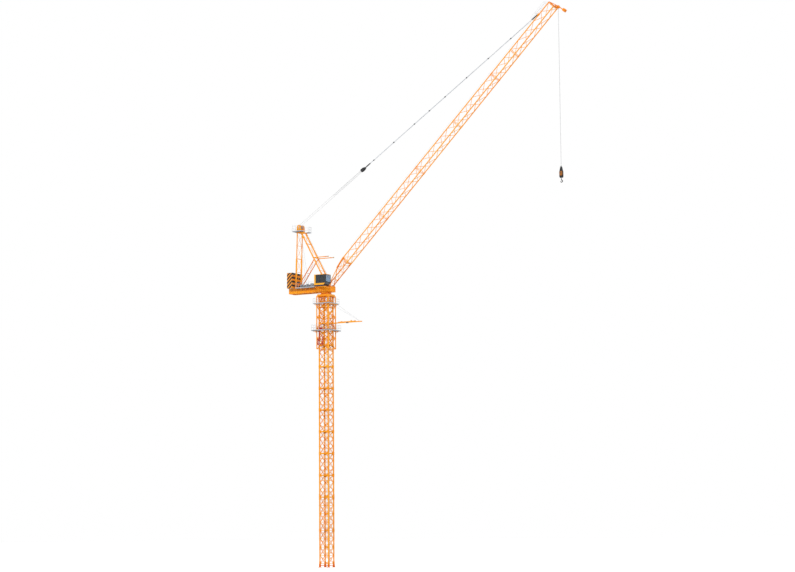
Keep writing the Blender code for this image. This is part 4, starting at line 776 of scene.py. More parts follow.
def mast_foot():
    """Soles with their anchor nuts, ribbed sleeves, and the square frame that ties them."""
    batch, nuts, collars = batches("mast", 3)
    for side_x in (-1, 1):
        for side_y in (-1, 1):
            x, y = side_x * HALF, side_y * HALF
            batch.sweep((x, y, 0), (x, y, 9), square_tube(52, 5), up=X)
            batch.sweep((x, y, 8), (x, y, FOOT - GAP), square_tube(32, 4), up=X)
            for turn in (X, Y):
                rib = (-24.5, 0), (24.5, 0), (16.5, 34), (-16.5, 34)
                batch.bar((x, y, 8.5), np.cross(Z, turn) * 1.5, rib)
            spots = np.array([(x + a, y + b, 8.8) for a in (-20.5, 20.5) for b in (-20.5, 20.5)])
            nuts.tubes(spots, spots + Z * 5.5, 4.2, 6)
            nuts.tubes(spots, spots + Z * 9.5, 2.2)
            collars.sweep((x, y, 47), (x, y, 54.5), square_tube(34, 4), up=X)
    low = FOOT / 2 + 7
    for side in TURNS:
        ends = on_side(side, np.array((-HALF + 14, HALF - 14)), low, -0.2)
        batch.sweep(*ends, beam_section(13.6, 13.6, 4, 3))
    batch.piece("mast_soles", FOOT_ORANGE, "base_frame", bevel=0.7)
    nuts.piece("anchor_nuts", DARK_STEEL)
    collars.piece("mast_foot_collars", DEEP_ORANGE, bevel=0.6)


def rungs(batch, foot, top, across, width, pitch, radius):
    """Round rungs at an even pitch between two points."""
    foot, top = np.array(foot, float), np.array(top, float)
    count = int(round(np.linalg.norm(top - foot) / pitch))
    at = foot + (top - foot) * ((np.arange(count) + 0.5) / count)[:, None]
    batch.rod(at, across * width / 2, radius, 6)


def mast_ladder():
    """Ladder with hoops between landings of open grating that leave a hatch for the climber."""
    rails, landings = batches("mast", 2)
    x = width = 45
    foot, top = (x, 0, FOOT), (x, 0, MAST_TOP - 5)
    for hand in (-1, 1):
        rails.sweep(np.array(foot) + Y * hand * (width / 2 - 2), np.array(top) + Y * hand * (width / 2 - 2),
            rectangle(5, 3), up=X)
    rungs(rails, foot, top, Y, width - 4, 30, 1.4)
    reach = HALF - 8
    for level in JOINT_LEVELS:
        hatch = (x - 54, x - 3)
        lines = np.linspace(-reach + 12, reach - 12, 21)
        for y in lines:
            spans = [(-reach, hatch[0]), (x + 3, reach)] if abs(y) < 25.5 else [(-reach, reach)]
            for left, right in spans:
                landings.sweep((left, y, level), (right, y, level), rectangle(1.2, 4))
        for at in np.linspace(-reach + 10, reach - 10, 6):
            if not hatch[0] < at < hatch[1]:
                landings.sweep((at, -reach + 12, level), (at, reach - 12, level), rectangle(1.6, 3))
        for at in (-reach + 0.8, reach - 0.8):
            landings.sweep((at, -reach + 12, level), (at, reach - 12, level), rectangle(1.6, 5))
            landings.sweep((-reach + 12, at, level), (reach - 12, at, level), rectangle(1.6, 5))
        for edge in hatch:
            landings.bar((edge, 0, level), Y * 26.5, rectangle(1.6, 5))
    hoops = np.arange(FOOT + 250, MAST_TOP - 50, 100)
    turn = np.linspace(-math.pi / 2, math.pi / 2, 9)
    ring = np.stack([x - 39.5 * np.cos(turn) - 3, 21.5 * np.sin(turn), np.zeros(9)], 1)
    for level in hoops:
        points = ring + Z * level
        rails.sweep(points[:-1], points[1:], rectangle(3, 1.2))
    for turned in (2, 4, 6):
        rails.sweep(ring[turned] + Z * hoops[0], ring[turned] + Z * hoops[-1], rectangle(2.5, 1.2), up=X)
    rails.piece("mast_ladder_rungs", PALE_ZINC, "mast_ladder")
    landings.piece("mast_landings", ZINC)


# ---------------------------------------------------------------- climbing cage
CAGE = 253
CAGE_HALF = CAGE / 2
CAGE_TOP = RING_LEVEL - 52
CAGE_LOW = CAGE_TOP - 988
CAGE_WALL = CAGE_HALF + 7.3
LOWER_LEVEL, UPPER_LEVEL = RING_LEVEL - 701, RING_LEVEL - 199


def cage_point(side, across, level, out=0):
    """Points of a cage side: as on the mast, but as far out as the cage."""
    return on_side(side, across, level, np.asarray(out) + CAGE_HALF - HALF)


def cage_side(side):
    """Posts with end plates, main zigzag with light counter-diagonals, and struts at each bay."""
    batch = Batch("mast")
    near = side in ("near", "far")
    half = CAGE_HALF if near else CAGE_HALF - 8.5
    levels = CAGE_LOW + np.arange(6) * (CAGE_TOP - GAP - CAGE_LOW) / 5
    for first, width in ((1, 10.2), (-1, 6.4)):
        starts, ends = zigzag(levels, half - 3, first)
        shift = 0 if first == 1 else -2
        batch.sweep(cage_point(side, *starts, shift), cage_point(side, *ends, shift), square_tube(width, 1.2),
            up=-outward(side))
    struts = levels.copy()
    struts[0] += 4.5
    struts[-1] -= 4.5
    full = np.full(len(struts), half)
    batch.sweep(cage_point(side, -full, struts), cage_point(side, full, struts), square_tube(9.8, 1.4))
    if near:
        for hand in (-1, 1):
            foot, top = cage_point(side, hand * half, CAGE_LOW), cage_point(side, hand * half, CAGE_TOP - GAP)
            batch.sweep(foot, top, square_tube(16.2, 2.4), up=X)
            at = cage_point(side, np.full(4, hand * half), levels[1:5])
            batch.bar(at, Z * 12, square_tube(18.4, 2), up=X)
            batch.rod(at, X * 10.4, 2.8, 6)
    for level in (levels[1], levels[3]):
        for upward in (-1, 1):
            rise = level + upward * 4
            for hand in (-1, 1):
                corner = cage_point(side, np.array((hand * half, hand * (half - 30), hand * half)),
                    np.array((rise, rise, rise + upward * 30)), -1)
                batch.wedge(corner, -1.2 * outward(side))
    batch.piece(f"cage_{side}_steel", ORANGE, f"cage_{side}")
    if near:
        return
    wheels = Batch("mast")
    hand = 1 if side == "right" else -1
    for level in (levels[0] + 50, levels[4] + 30):
        for y in (-60, 60):
            gap = CAGE_HALF - 6.5
            wheels.lathe((hand * (gap - 8.5), y, level), (0, 1, 0), [(-5, 3), (-5, 8.5), (-3, 9.5), (3, 9.5),
                (5, 8.5), (5, 3)], 16)
            wheels.boxes([(hand * (gap - 3), y - 7, level), (hand * (gap - 3), y + 7, level)], (13, 2, 18))
    wheels.piece(f"cage_guide_rollers_{side}", DARK_STEEL)


def railing(batch, corners, level, height, posts, closed=True, gates=()):
    """Round top and knee rails, posts at even steps, and a kick plate; runs are numbered from 0."""
    corners = np.array(corners, float)
    ends = np.roll(corners, -1, 0) if closed else corners[1:]
    starts = corners if closed else corners[:-1]
    for number, (start, end) in enumerate(zip(starts, ends)):
        if number in gates:
            continue
        for rise in (height - 1.5, height * 0.52):
            batch.tubes((*start, level + rise), (*end, level + rise), 1.5)
        steps = np.linspace(0, 1, posts)[:, None]
        feet = np.concatenate([start + (end - start) * steps, np.full((posts, 1), level)], 1)
        batch.tubes(feet, feet + Z * (height - 1.5), 1.4)
        batch.sweep((*start, level + 6), (*end, level + 6), rectangle(1, 11))


def grating_sheet(batch, left, right, near, far, level, pitch=6.8, hole=None):
    """Bearing bars along X with cross bars and a frame, level at their middle."""
    for y in np.arange(near + pitch / 2, far, pitch):
        spans = [(left, right)]
        if hole and hole[2] < y < hole[3]:
            spans = [(left, hole[0]), (hole[1], right)]
        for a, b in spans:
            if b - a > 2:
                batch.sweep((a, y, level), (b, y, level), rectangle(1.2, 4.5))
    for x in np.arange(left + 12, right, 24):
        spans = [(near, far)]
        if hole and hole[0] < x < hole[1]:
            spans = [(near, hole[2]), (hole[3], far)]
        for a, b in spans:
            if b - a > 2:
                batch.sweep((x, a, level + 1.2), (x, b, level + 1.2), rectangle(1.2, 1.8))
    frames = [((left, near), (right, near)), ((left, far), (right, far)), ((left, near), (left, far)),
        ((right, near), (right, far))]
    if hole:
        a, b, c, d = hole
        frames += [((a, c), (b, c)), ((a, d), (b, d)), ((a, c), (a, d)), ((b, c), (b, d))]
    for start, end in frames:
        start, end = np.array((*start, level)), np.array((*end, level))
        run = unit(end - start)
        batch.sweep(start - run * 0.8, end + run * 0.8, rectangle(1.8, 5.6))


def cage_platform(name, side, level, height):
    """Walkway of open grating round the cage, on brackets, with a railing of tubes."""
    floor, rails, brackets = batches("mast", 3)
    half = side / 2 - 1.2
    inner = CAGE_HALF + 9.2
    grating_sheet(floor, -half, half, -half, half, level, hole=(-inner, inner, -inner, inner))
    edge = half - 2
    railing(rails, [(-edge, -edge), (edge, -edge), (edge, edge), (-edge, edge)], level + 2, height, 6)
    for hand in (-1, 1):
        for shift in (-CAGE_HALF, CAGE_HALF):
            for axis, other in ((X, Y), (Y, X)):
                foot = axis * hand * (CAGE_HALF + 8.8) + other * shift
                tip = axis * hand * (half - 4) + other * shift
                brackets.sweep(foot + Z * (level - 5.5), tip + Z * (level - 5.5), rectangle(4, 5))
                brackets.sweep(foot + Z * (level - 40), tip + Z * (level - 8), rectangle(3.5, 3.5))
    floor.piece(f"{name}_grating", ZINC, name)
    rails.piece(f"{name}_rails", PALE_ZINC)
    brackets.piece(f"{name}_brackets", ORANGE)


def loading_beam():
    """Box beam with its carriage and trolley, end pad and two thin stays to a hanger."""
    batch, trolley, stays = batches("mast", 3)
    level, reach = RING_LEVEL - 565, 769
    batch.sweep((CAGE_WALL, 0, level), (reach - 0.5, 0, level), rectangle(15.6, 17.8))
    for x, length, wide, tall in ((446, 362, 11.8, 10.5), (333, 30, 14.6, 16.5), (539, 20, 16.6, 26),
            (620, 14, 14.6, 21.5)):
        batch.boxes((x, 0, level + 8.6 + tall / 2), (length, wide, tall))
    batch.bar((CAGE_WALL + 6, 0, level), Y * CAGE_HALF, channel_section(12.5, 13.8, 3), up=X)
    batch.boxes((reach - 3, 0, level), (4, 13.8, 13.8))
    hanger = np.array((180 - 14, 0, UPPER_LEVEL - 7.3))
    batch.bar(hanger, Y * 135, square_tube(13.6, 2))
    anchor = np.array((reach * 0.95, 0, level + 2))
    for side in (-1, 1):
        run = hanger + Y * side * 128 - anchor
        stays.tubes(anchor, anchor + run, 1.3)
        stays.rod(anchor + run * 0.5, unit(run) * 16, 2.2)
    for x in (360, 540, 615):
        batch.boxes((x, 0, level), (6, 16.6, 18.8))
    for x in (440, 470):
        for side in (-1, 1):
            trolley.lathe((x, side * 4.5, level - 3.5), (0, side, 0), [(0, 1), (0, 4), (1.2, 4.6), (2.6, 4),
                (2.6, 1)], 14)
    for y in (-8.2, 8.2):
        trolley.plate(rectangle(46, 13.5) + (455, level - 6.25), y, 1.6)
    trolley.boxes((455, 0, level - 14), (30, 18, 4))
    batch.piece("loading_beam_steel", ORANGE, "loading_beam")
    trolley.piece("loading_beam_trolley", DARK_STEEL)
    stays.piece("loading_beam_stays", PALE_ZINC)


def hydraulics():
    """Climbing cylinder with glands and polished rod, a second one with its yoke, and the power pack."""
    barrel, rod, pack = batches("mast", 3)
    wall = -CAGE_WALL
    x, y = -CAGE / 4, wall - 11
    top = LOWER_LEVEL - GAP - 3.5
    low = top - 200
    barrel.lathe((x, y, low), Z, [(2, 3), (2, 9.8), (4, 10.8), (16, 10.8), (18, 9.5), (180, 9.5), (182, 10.8),
        (196, 10.8), (198, 9.2), (198, 3)], 28)
    barrel.boxes([(x, y + 8.5, low + 190), (x, y + 8.5, low + 10)], (14, 5, 12))
    rod.lathe((x, y, low - 66.5), Z, [(8, 2), (8, 5.6), (75, 5.6), (75, 2)], 24)
    rod.lathe((x - 6, y, low - 60.5), X, [(0, 3), (0, 9), (1, 9.8), (11, 9.8), (12, 9), (12, 3)], 24)
    second = np.array((12, wall - 9.5, LOWER_LEVEL - 262))
    barrel.lathe(second, Z, [(0, 3), (0, 9.8), (4, 10.8), (16, 10.8), (18, 8.8), (128, 8.8), (130, 10.2),
        (146, 10.2), (147, 3)], 28)
    barrel.boxes((-40.5, wall - 8.5, LOWER_LEVEL - 249), (125, 12.8, 16.5))
    barrel.boxes((-93.5, wall - 7.5, LOWER_LEVEL - 208), (13.5, 11.2, 125))
    barrel.boxes([(12, wall - 4, LOWER_LEVEL - 262), (12, wall - 4, LOWER_LEVEL - 120)], (22, 8.6, 10))
    length, width = 50, 45
    base = LOWER_LEVEL + 6.3
    middle = np.array((-length / 2, wall - width / 2, base))
    pack.boxes([middle + Z * 16.5], (49, 44, 31))
    pack.boxes([middle + Z * 33], (49.5, 44.5, 2.2))
    pack.lathe(middle + (-12, -8, 34), Z, [(0, 4), (0, 9.5), (14, 9.5), (15.5, 8.8), (19, 8.8), (20.5, 6),
        (20.5, 2)], 20)
    for turn in around(10):
        at = middle + (-12 + 9.7 * math.cos(turn), -8 + 9.7 * math.sin(turn), 36)
        pack.sweep(at, at + Z * 11, rectangle(1.4, 1.2), up=X)
    pack.boxes([middle + (10, 6, 40.5)], (22, 18, 13))
    pack.lathe(middle + (12, -12, 33.5), Z, [(0, 2), (0, 3.2), (8, 3.2), (8, 4.5), (11, 4.5), (11, 2)], 12)
    barrel.piece("climbing_cylinder_barrel", RED, "climbing_cylinder")
    rod.piece("climbing_cylinder_rod", BRIGHT)
    pack.piece("power_pack_unit", RED, "power_pack", bevel=0.6)


def slewing_support():
    """Open head with posts, ribs and ringed openings, flange with bolts, and the toothed ring on it."""
    box_part, ring, bolts = batches("mast", 3)
    low, flange = MAST_TOP + GAP, CAGE_TOP
    half_high = 123
    for side in TURNS:
        for across in (-HALF, 0, HALF):
            at = on_side(side, across, low, 0)
            out = on_side(side, across, low, 1) - at
            along = np.cross(Z, out)
            outline = (0, 12), (10.5, 12), (28.5, flange - low), (0, flange - low)
            box_part.sweep(at + along * 1.8, at - along * 1.8, outline)
            if across == 0:
                box_part.sweep(at - out * 3, at - out * 3 + Z * (flange - low), rectangle(12, 11), up=X)
        if side in ("near", "far"):
            posts = on_side(side, np.array((-HALF, HALF)), low)
            box_part.sweep(posts, posts + Z * (flange - low), square_tube(28, 4), up=X)
        for level, tall in ((low + 8.5, 16), (flange - 6, 12)):
            ends = on_side(side, np.array((-HALF, HALF)), level, -1)
            box_part.sweep(*ends, rectangle(12, tall))
        for across in (-43.5, 43.5):
            centre = on_side(side, across, low + 60, -1)
            section = np.stack([5.2 * np.cos(around(8)), 33.5 - 4.2 * np.sin(around(8))], 1)
            box_part.lathe(centre, out, section, 32, ring=True)
    box_part.sweep((0, 0, flange), (0, 0, flange + 29.5), square_tube(2 * half_high - 0.4, 8), up=X)
    corners = 96 * 4
    outline = arc(0, 0, np.where(np.arange(corners) % 4 < 2, 99.6, 96.2), around(corners))
    ring.sweep((0, 0, flange + 29.6), (0, 0, RING_LEVEL - 6.5), outline, up=X)
    ring.lathe((0, 0, 0), Z, [(RING_LEVEL - 8, 20), (RING_LEVEL - 8, 96.5), (RING_LEVEL - 0.6, 96.5),
        (RING_LEVEL - 0.2, 96), (RING_LEVEL - 0.2, 20)], 64)
    spots = [(x, y, flange + 28.5) for x in np.linspace(-110, 110, 8) for y in (-114.5, 114.5)]
    spots += [(y, x, z) for x, y, z in spots[2:-2]]
    bolts.tubes(spots, np.array(spots) + Z * 4.2, 3.6, 6)
    box_part.piece("slewing_support_box", ORANGE, "slewing_support", bevel=0.6)
    ring.piece("slewing_ring_gear", DEEP_ORANGE)
    bolts.piece("slewing_ring_bolts", BRIGHT)


for side_name in TURNS:
    mast_base_side(side_name)
    mast_shaft_side(side_name)
    cage_side(side_name)
mast_foot()
mast_ladder()
cage_platform("cage_platform_lower", 406, LOWER_LEVEL, 104)
cage_platform("cage_platform_upper", 360, UPPER_LEVEL, 96)
loading_beam()
hydraulics()
slewing_support()


# ---------------------------------------------------------------- turntable and counter-jib
DECK = 120
WIDE = 209 / 2
FRONT_FOOT, FRONT_TOP = np.array((55, 0, 170)), np.array((-486, 0, 1170))
REAR_FOOT, REAR_TOP = np.array((-604, 0, DECK + GAP)), np.array((-570, 0, 1175))
FRONT_HALF, REAR_HALF = 82.5, 90
FRONT_TIE, REAR_TIE = 0.513, 0.538


def turntable():
    """Ribbed box on the upper ring, jib ears with pins, A-frame shoes, cab arms and slewing drives."""
    steel, pins, drives, bolts = batches("upper_works", 4)
    steel.lathe((0, 0, 0), Z, [(0.7, 20), (0.7, 96.5), (2.5, 99.5), (17, 99.5), (17, 92.5), (23.5, 92.5),
        (23.5, 20)], 72)
    turn = around(28)
    spots = np.stack([96 * np.cos(turn), 96 * np.sin(turn), np.full(28, 16.5)], 1)
    bolts.tubes(spots, spots + Z * 4.5, 2.8, 6)
    steel.sheet(rectangle(291, 200), 22.5, 95)
    flange = rectangle(299.8, 2 * WIDE)
    steel.sheet(flange, 22.2, 4.5)
    steel.sheet(flange, DECK - 5, 4.9)
    for x in np.linspace(-135, 135, 7):
        for side in (-1, 1):
            steel.boxes((x, side * 101.8, 70.5), (3.5, 5, 90))
    for y in np.linspace(-90, 90, 5):
        for side in (-1, 1):
            steel.boxes((side * 147.5, y, 70.5), (4.5, 3.5, 90))
    pin_x, pin_y, pin_z = 110, 85, 145
    outline = [(80, 118), (140, 118), *arc(pin_x, pin_z, 15, np.linspace(0, math.pi, 15))]
    for side in (-1, 1):
        eye = np.array((pin_x, side * pin_y, pin_z))
        for shift in (-1, 1):
            steel.plate(outline, eye[1] + shift * 14.6, 11.8)
            pins.tubes(eye + Y * shift * 20.6, eye + Y * shift * 22.5, 12.5, 20)
        pins.rod(eye, Y * 24, 8.5, 20)
        for shift in (-8.5, 8.5):
            shoe = (22, 118), (68, 118), (65.5, 158.5), (44.5, 160.5), (26, 130)
            steel.plate(shoe, side * (FRONT_HALF + shift * 1.5), 2.8)
        pins.rod((55, side * FRONT_HALF, 146), Y * 16.5, 5, 16)
    for x in (-41, 151):
        steel.sweep((x, -310 + 0.5, 88.7), (x, -WIDE + 10, 88.7), beam_section(19.6, 19.6, 5, 4))
    for hand in (-1, 1):
        centre = (-112, hand * 60, DECK)
        drives.lathe(centre, Z, [(-1, 4), (-1, 18.5), (4, 18.5), (4.5, 15.5), (20, 15.5), (22, 12.5),
            (26, 12.5), (26.5, 14.5), (50, 14.5), (53, 12.5), (58, 12.2), (60.5, 9), (60.5, 2)], 28)
        for turned in around(14):
            at = np.array(centre) + (14.8 * math.cos(turned), 14.8 * math.sin(turned), 29)
            drives.sweep(at, at + Z * 19.5, rectangle(1.8, 1.2), up=(math.cos(turned), math.sin(turned), 0))
        drives.boxes([(centre[0] + 16, centre[1], DECK + 40)], (9, 12, 14))
        spots = np.array(centre) + np.stack([16.8 * np.cos(turn[::4]), 16.8 * np.sin(turn[::4]),
            np.full(7, 3)], 1)
        bolts.tubes(spots, spots + Z * 3, 1.5, 6)
    steel.piece("turntable_steel", ORANGE, "turntable", bevel=0.5)
    pins.piece("turntable_pins", BRIGHT, bevel=0.6)
    drives.piece("slewing_drives", WINCH_GREY)
    bolts.piece("turntable_bolts", DARK_STEEL)


def counter_deck():
    """Two I-beams with cross beams, diagonals below, a grating between them and a cable tray outside."""
    steel, floor, tray = batches("upper_works", 3)
    front, rear, low = -150.3, -750, 25
    middle, tall = (DECK + low) / 2, DECK - low
    for side in (-1, 1):
        y = side * (WIDE - 9)
        steel.sweep((rear + 0.2, y, middle), (front, y, middle), beam_section(17.9, tall - 0.4, 5, 6))
        for x in np.linspace(rear + 30, front - 20, 12):
            steel.boxes((x, y, middle), (2.5, 17.2, tall - 10))
        tray.boxes(((rear + front) / 2 + 10, side * (WIDE - 1.2), middle + 20.5), (560, 2.2, 40))
        for z in (middle + 0.8, middle + 40.2):
            tray.boxes(((rear + front) / 2 + 10, side * (WIDE - 2.1), z), (560, 3.8, 1.6))
    steps = np.linspace(rear + 9, front - 9, 6)
    inside = WIDE - 18
    for x in steps:
        steel.bar((x, 0, middle - 4), Y * inside, beam_section(17.6, tall - 12, 4, 5))
    for number, (a, b) in enumerate(zip(steps, steps[1:])):
        hand = 1 if number % 2 else -1
        steel.sweep((a, -inside * hand, low + 8), (b, inside * hand, low + 8), rectangle(7, 6))
    steel.boxes((rear + 2, 0, middle), (3.6, 2 * WIDE - 4, tall - 0.6))
    grating_sheet(floor, -620, front - 1, -inside + 0.4, inside - 0.4, DECK - 3.5, 7.8)
    steel.piece("counter_deck_beams", ORANGE, "counter_deck", bevel=0.4)
    floor.piece("counter_deck_grating", ZINC)
    tray.piece("counter_deck_trays", DECK_BROWN, bevel=0.3)


def deck_walkway():
    """Narrow grating outside the near beam on brackets, with a railing."""
    floor, rails, brackets = batches("upper_works", 3)
    inner, near = -WIDE - 0.6, -WIDE - 50.2
    left, right = -580, -160
    grating_sheet(floor, left + 1, right - 1, near + 1, inner - 1, DECK - 3, 6.4)
    y = near + 2.2
    railing(rails, [(left + 2, inner - 3), (left + 2, y), (right - 2, y), (right - 2, inner - 3)], DECK, 98.5,
        8, closed=False, gates=(0, 2))
    for x in (left + 2, right - 2):
        for z in (DECK + 97, DECK + 50):
            rails.tubes((x, y, z), (x, inner - 2, z), 1.5)
        rails.tubes((x, inner - 3, DECK - 2), (x, inner - 3, DECK + 97), 1.4)
    for x in np.linspace(left + 20, right - 20, 5):
        brackets.sweep((x, inner - 0.2, DECK - 8.5), (x, near + 3, DECK - 8.5), rectangle(4, 5))
        brackets.sweep((x, inner + 0.8, 60), (x, near + 6, DECK - 9.5), rectangle(4, 4))
    floor.piece("deck_walkway_grating", ZINC, "deck_walkway")
    rails.piece("deck_walkway_rails", PALE_ZINC)
    brackets.piece("deck_walkway_brackets", ORANGE)


def counterweight():
    """Two cast slabs with chamfered edges, lifting eyes, and tie rods through both."""
    low, tall = DECK + 0.5, 296.5
    half = 367 / 2
    front, pitch = -628, 57.3
    fronts = {"counterweight_front": front, "counterweight_rear": front - pitch}
    for name, front in fronts.items():
        slab = Batch("upper_works")
        outline = ((-half + 6, low), (half - 6, low), (half, low + 6), (half, low + tall - 10),
            (half - 10, low + tall), (-half + 10, low + tall), (-half, low + tall - 10), (-half, low + 6))
        slab.sweep((front - 56.8, 0, 0), (front - 0.2, 0, 0), outline)
        slab.piece(f"{name}_slab", SLAB, name, bevel=2.2)
    steel = Batch("upper_works")
    for front in fronts.values():
        for y in (-110, 110):
            turn = np.linspace(0, math.pi, 9)
            across, level = y + 11 * np.cos(turn), low + tall - 13.5 + 13.5 * np.sin(turn)
            loop = np.stack([np.full(9, front - 28.5), across, level], 1)
            steel.hose(np.concatenate([loop[:1] - Z * 4, loop, loop[-1:] - Z * 4]) - (0, 0, 0.8), 1.6)
    faces = -742.3, -628.2
    for y in (-140, 140):
        for z in (low + 60, low + 235):
            for x, step in ((faces[1], 1), (faces[0], -1)):
                steel.tubes((x, y, z), (x + step * 1.6, y, z), 10.5, 20)
                steel.tubes((x + step * 1.4, y, z), (x + step * 5.5, y, z), 6.2, 6)
    for y in (-half + 30, half - 30):
        steel.sweep((faces[0], y, low + 3.5), (faces[1] - 0.1, y, low + 3.5), rectangle(10, 6))
    steel.piece("counterweight_ties", DARK_STEEL)


def winch(name, x, turns):
    """Grooved drum full of rope between spoked flanges, on bearing stands, with gear box, motor and brake."""
    frame_part, drum, rope, motor = batches("upper_works", 4)
    axle = DECK + GAP + 45
    half = 60
    wraps = np.arange(turns * 6 + 1)
    along = -half + 7 + wraps / (turns * 6) * (2 * half - 14)
    radius = 26.2 + 0.9 * np.abs(np.sin(wraps * math.pi / 6))
    profile = [(along[0], 12), *zip(along, radius), (along[-1], 12)]
    rope.lathe((x, 0, axle), Y, profile, 28)
    for hand in (-1, 1):
        edge = hand * (half - 6.2)
        out = hand * (half - 0.8)
        a, b = min(edge, out), max(edge, out)
        rim = [(a, 6), (a, 34.5), (a + 0.8, 35.7), (b - 0.8, 35.7), (b, 34.5), (b, 6)]
        drum.lathe((x, 0, axle), Y, rim, 40)
        for turned in around(8):
            at = np.array((x + 25 * math.cos(turned), b if hand > 0 else a, axle + 25 * math.sin(turned)))
            drum.tubes(at - Y * 0.5, at + Y * hand * 1.2, 2.2, 6)
        stand = ((x - 23.5, DECK + 1.5), (x + 23.5, DECK + 1.5), (x + 12.5, axle + 4), (x + 8, axle + 11.5),
            (x - 8, axle + 11.5), (x - 12.5, axle + 4))
        frame_part.plate(stand, hand * (half + 2.5), 4.5)
        frame_part.lathe((x, hand * (half + 2.5), axle), Y, [(-3.6, 3), (-3.6, 9.5), (3.6, 9.5), (3.6, 3)])
    frame_part.boxes((x, 0, DECK + 2.8), (71.5, 190, 4.8))
    for y in (-88, 88):
        frame_part.tubes([(x - 29, y, DECK + 4), (x + 29, y, DECK + 4)], [(x - 29, y, DECK + 8.5),
            (x + 29, y, DECK + 8.5)], 3.2, 6)
    motor.lathe((x, 66, axle), Y, [(0, 4), (0, 19), (2, 20.5), (9, 20.5), (11, 17.5), (12.5, 17.5),
        (12.8, 15.8), (25.5, 15.8), (27.5, 13.5), (27.5, 3)], 28)
    for turned in around(16):
        at = np.array((x + 16.2 * math.cos(turned), 79, axle + 16.2 * math.sin(turned)))
        motor.sweep(at, at + Y * 12.5, rectangle(1.1, 1.8), up=(math.cos(turned), 0, math.sin(turned)))
    motor.boxes((x + 2, 84.5, axle + 21), (14, 11, 8))
    motor.boxes((x, 80.5, DECK + 15), (20, 20, 25))
    motor.lathe((x, -66, axle), -Y, [(0, 4), (0, 14.5), (1.5, 15.5), (4, 15.5), (4.5, 9), (12, 9), (13, 7.5),
        (13, 2)], 28)
    frame_part.piece(f"{name}_frame", WINCH_GREY, name, bevel=0.4)
    drum.piece(f"{name}_drum", WINCH_GREY)
    rope.piece(f"{name}_rope", ROPE)
    motor.piece(f"{name}_motor", BOX_GREY, bevel=0.3)


def electric_cabinet():
    """Sheet-metal cabinet on a bed: two doors with hinges and handles, louvres and a roof lip."""
    body, trim = batches("upper_works", 2)
    x, low, (length, width, tall) = -285, DECK + 0.5, (50, 110, 85)
    body.boxes((x, 0, low + tall / 2), (length - 3, width - 3, tall - 2))
    body.boxes((x, 0, low + tall - 2.2), (length - 0.4, width - 0.4, 3.6))
    body.boxes((x, 0, low + 2.4), (length - 0.4, 190, 4.4))
    for face in (-1, 1):
        for y in (-27.2, 27.2):
            body.boxes((x + face * (length / 2 - 1.2), y, low + tall / 2), (2.2, 51.5, tall - 14))
            for z in np.linspace(low + 50, low + 66, 5):
                trim.boxes((x + face * (length / 2 - 0.3), y, z), (1.2, 34, 1.3))
            for z in (low + 18, low + 68):
                trim.rod((x + face * (length / 2 - 0.6), y * 1.88, z), Z * 4, 1.2)
            trim.boxes((x + face * (length / 2 + 0.2), y * 0.18, low + 36), (2.4, 2, 14))
    for hand in (-1, 1):
        for z in np.linspace(low + 30, low + 70, 9):
            trim.boxes((x, hand * (width / 2 - 1.2), z), (34, 1.6, 1.6))
    body.piece("electric_cabinet_body", BOX_GREY, "electric_cabinet", bevel=0.5)
    trim.piece("electric_cabinet_trim", WINCH_GREY)


# ---------------------------------------------------------------- A-frame
def leg_pair(batch, foot, top, half, width):
    """Two square tubes, one each side of the middle."""
    for side in (-1, 1):
        shift = Y * side * half
        batch.sweep(foot + shift, top + shift, square_tube(width, width * 0.12), up=Y)


def crossed(batch, low, high, half, radius):
    """Cross of two rods between a pair of legs."""
    for side in (-1, 1):
        batch.tubes(low + Y * side * half, high - Y * side * half, radius)
    batch.boxes((np.array(low) + high) / 2, (3, 11, 11))


def collars(batch, foot, top, half, shares, width, length=20):
    """Thicker boxes round both legs where they are joined or braced."""
    run = unit(top - foot)
    for share in shares:
        middle = foot + (top - foot) * share
        for side in (-1, 1):
            at = middle + Y * side * half
            batch.bar(at, run * length / 2, square_tube(width, 1.5), up=Y)


def ties_and_crosses(batch, foot, top, half, ties, bays, radius):
    """Ties between a pair of legs and crosses in its bays, placed by shares of the legs' length."""
    run = top - foot
    for share, width in ties:
        batch.bar(foot + run * share, Y * half, square_tube(width, width * 0.14), up=run)
    for a, b in bays:
        crossed(batch, foot + run * a, foot + run * b, half - 6, radius)


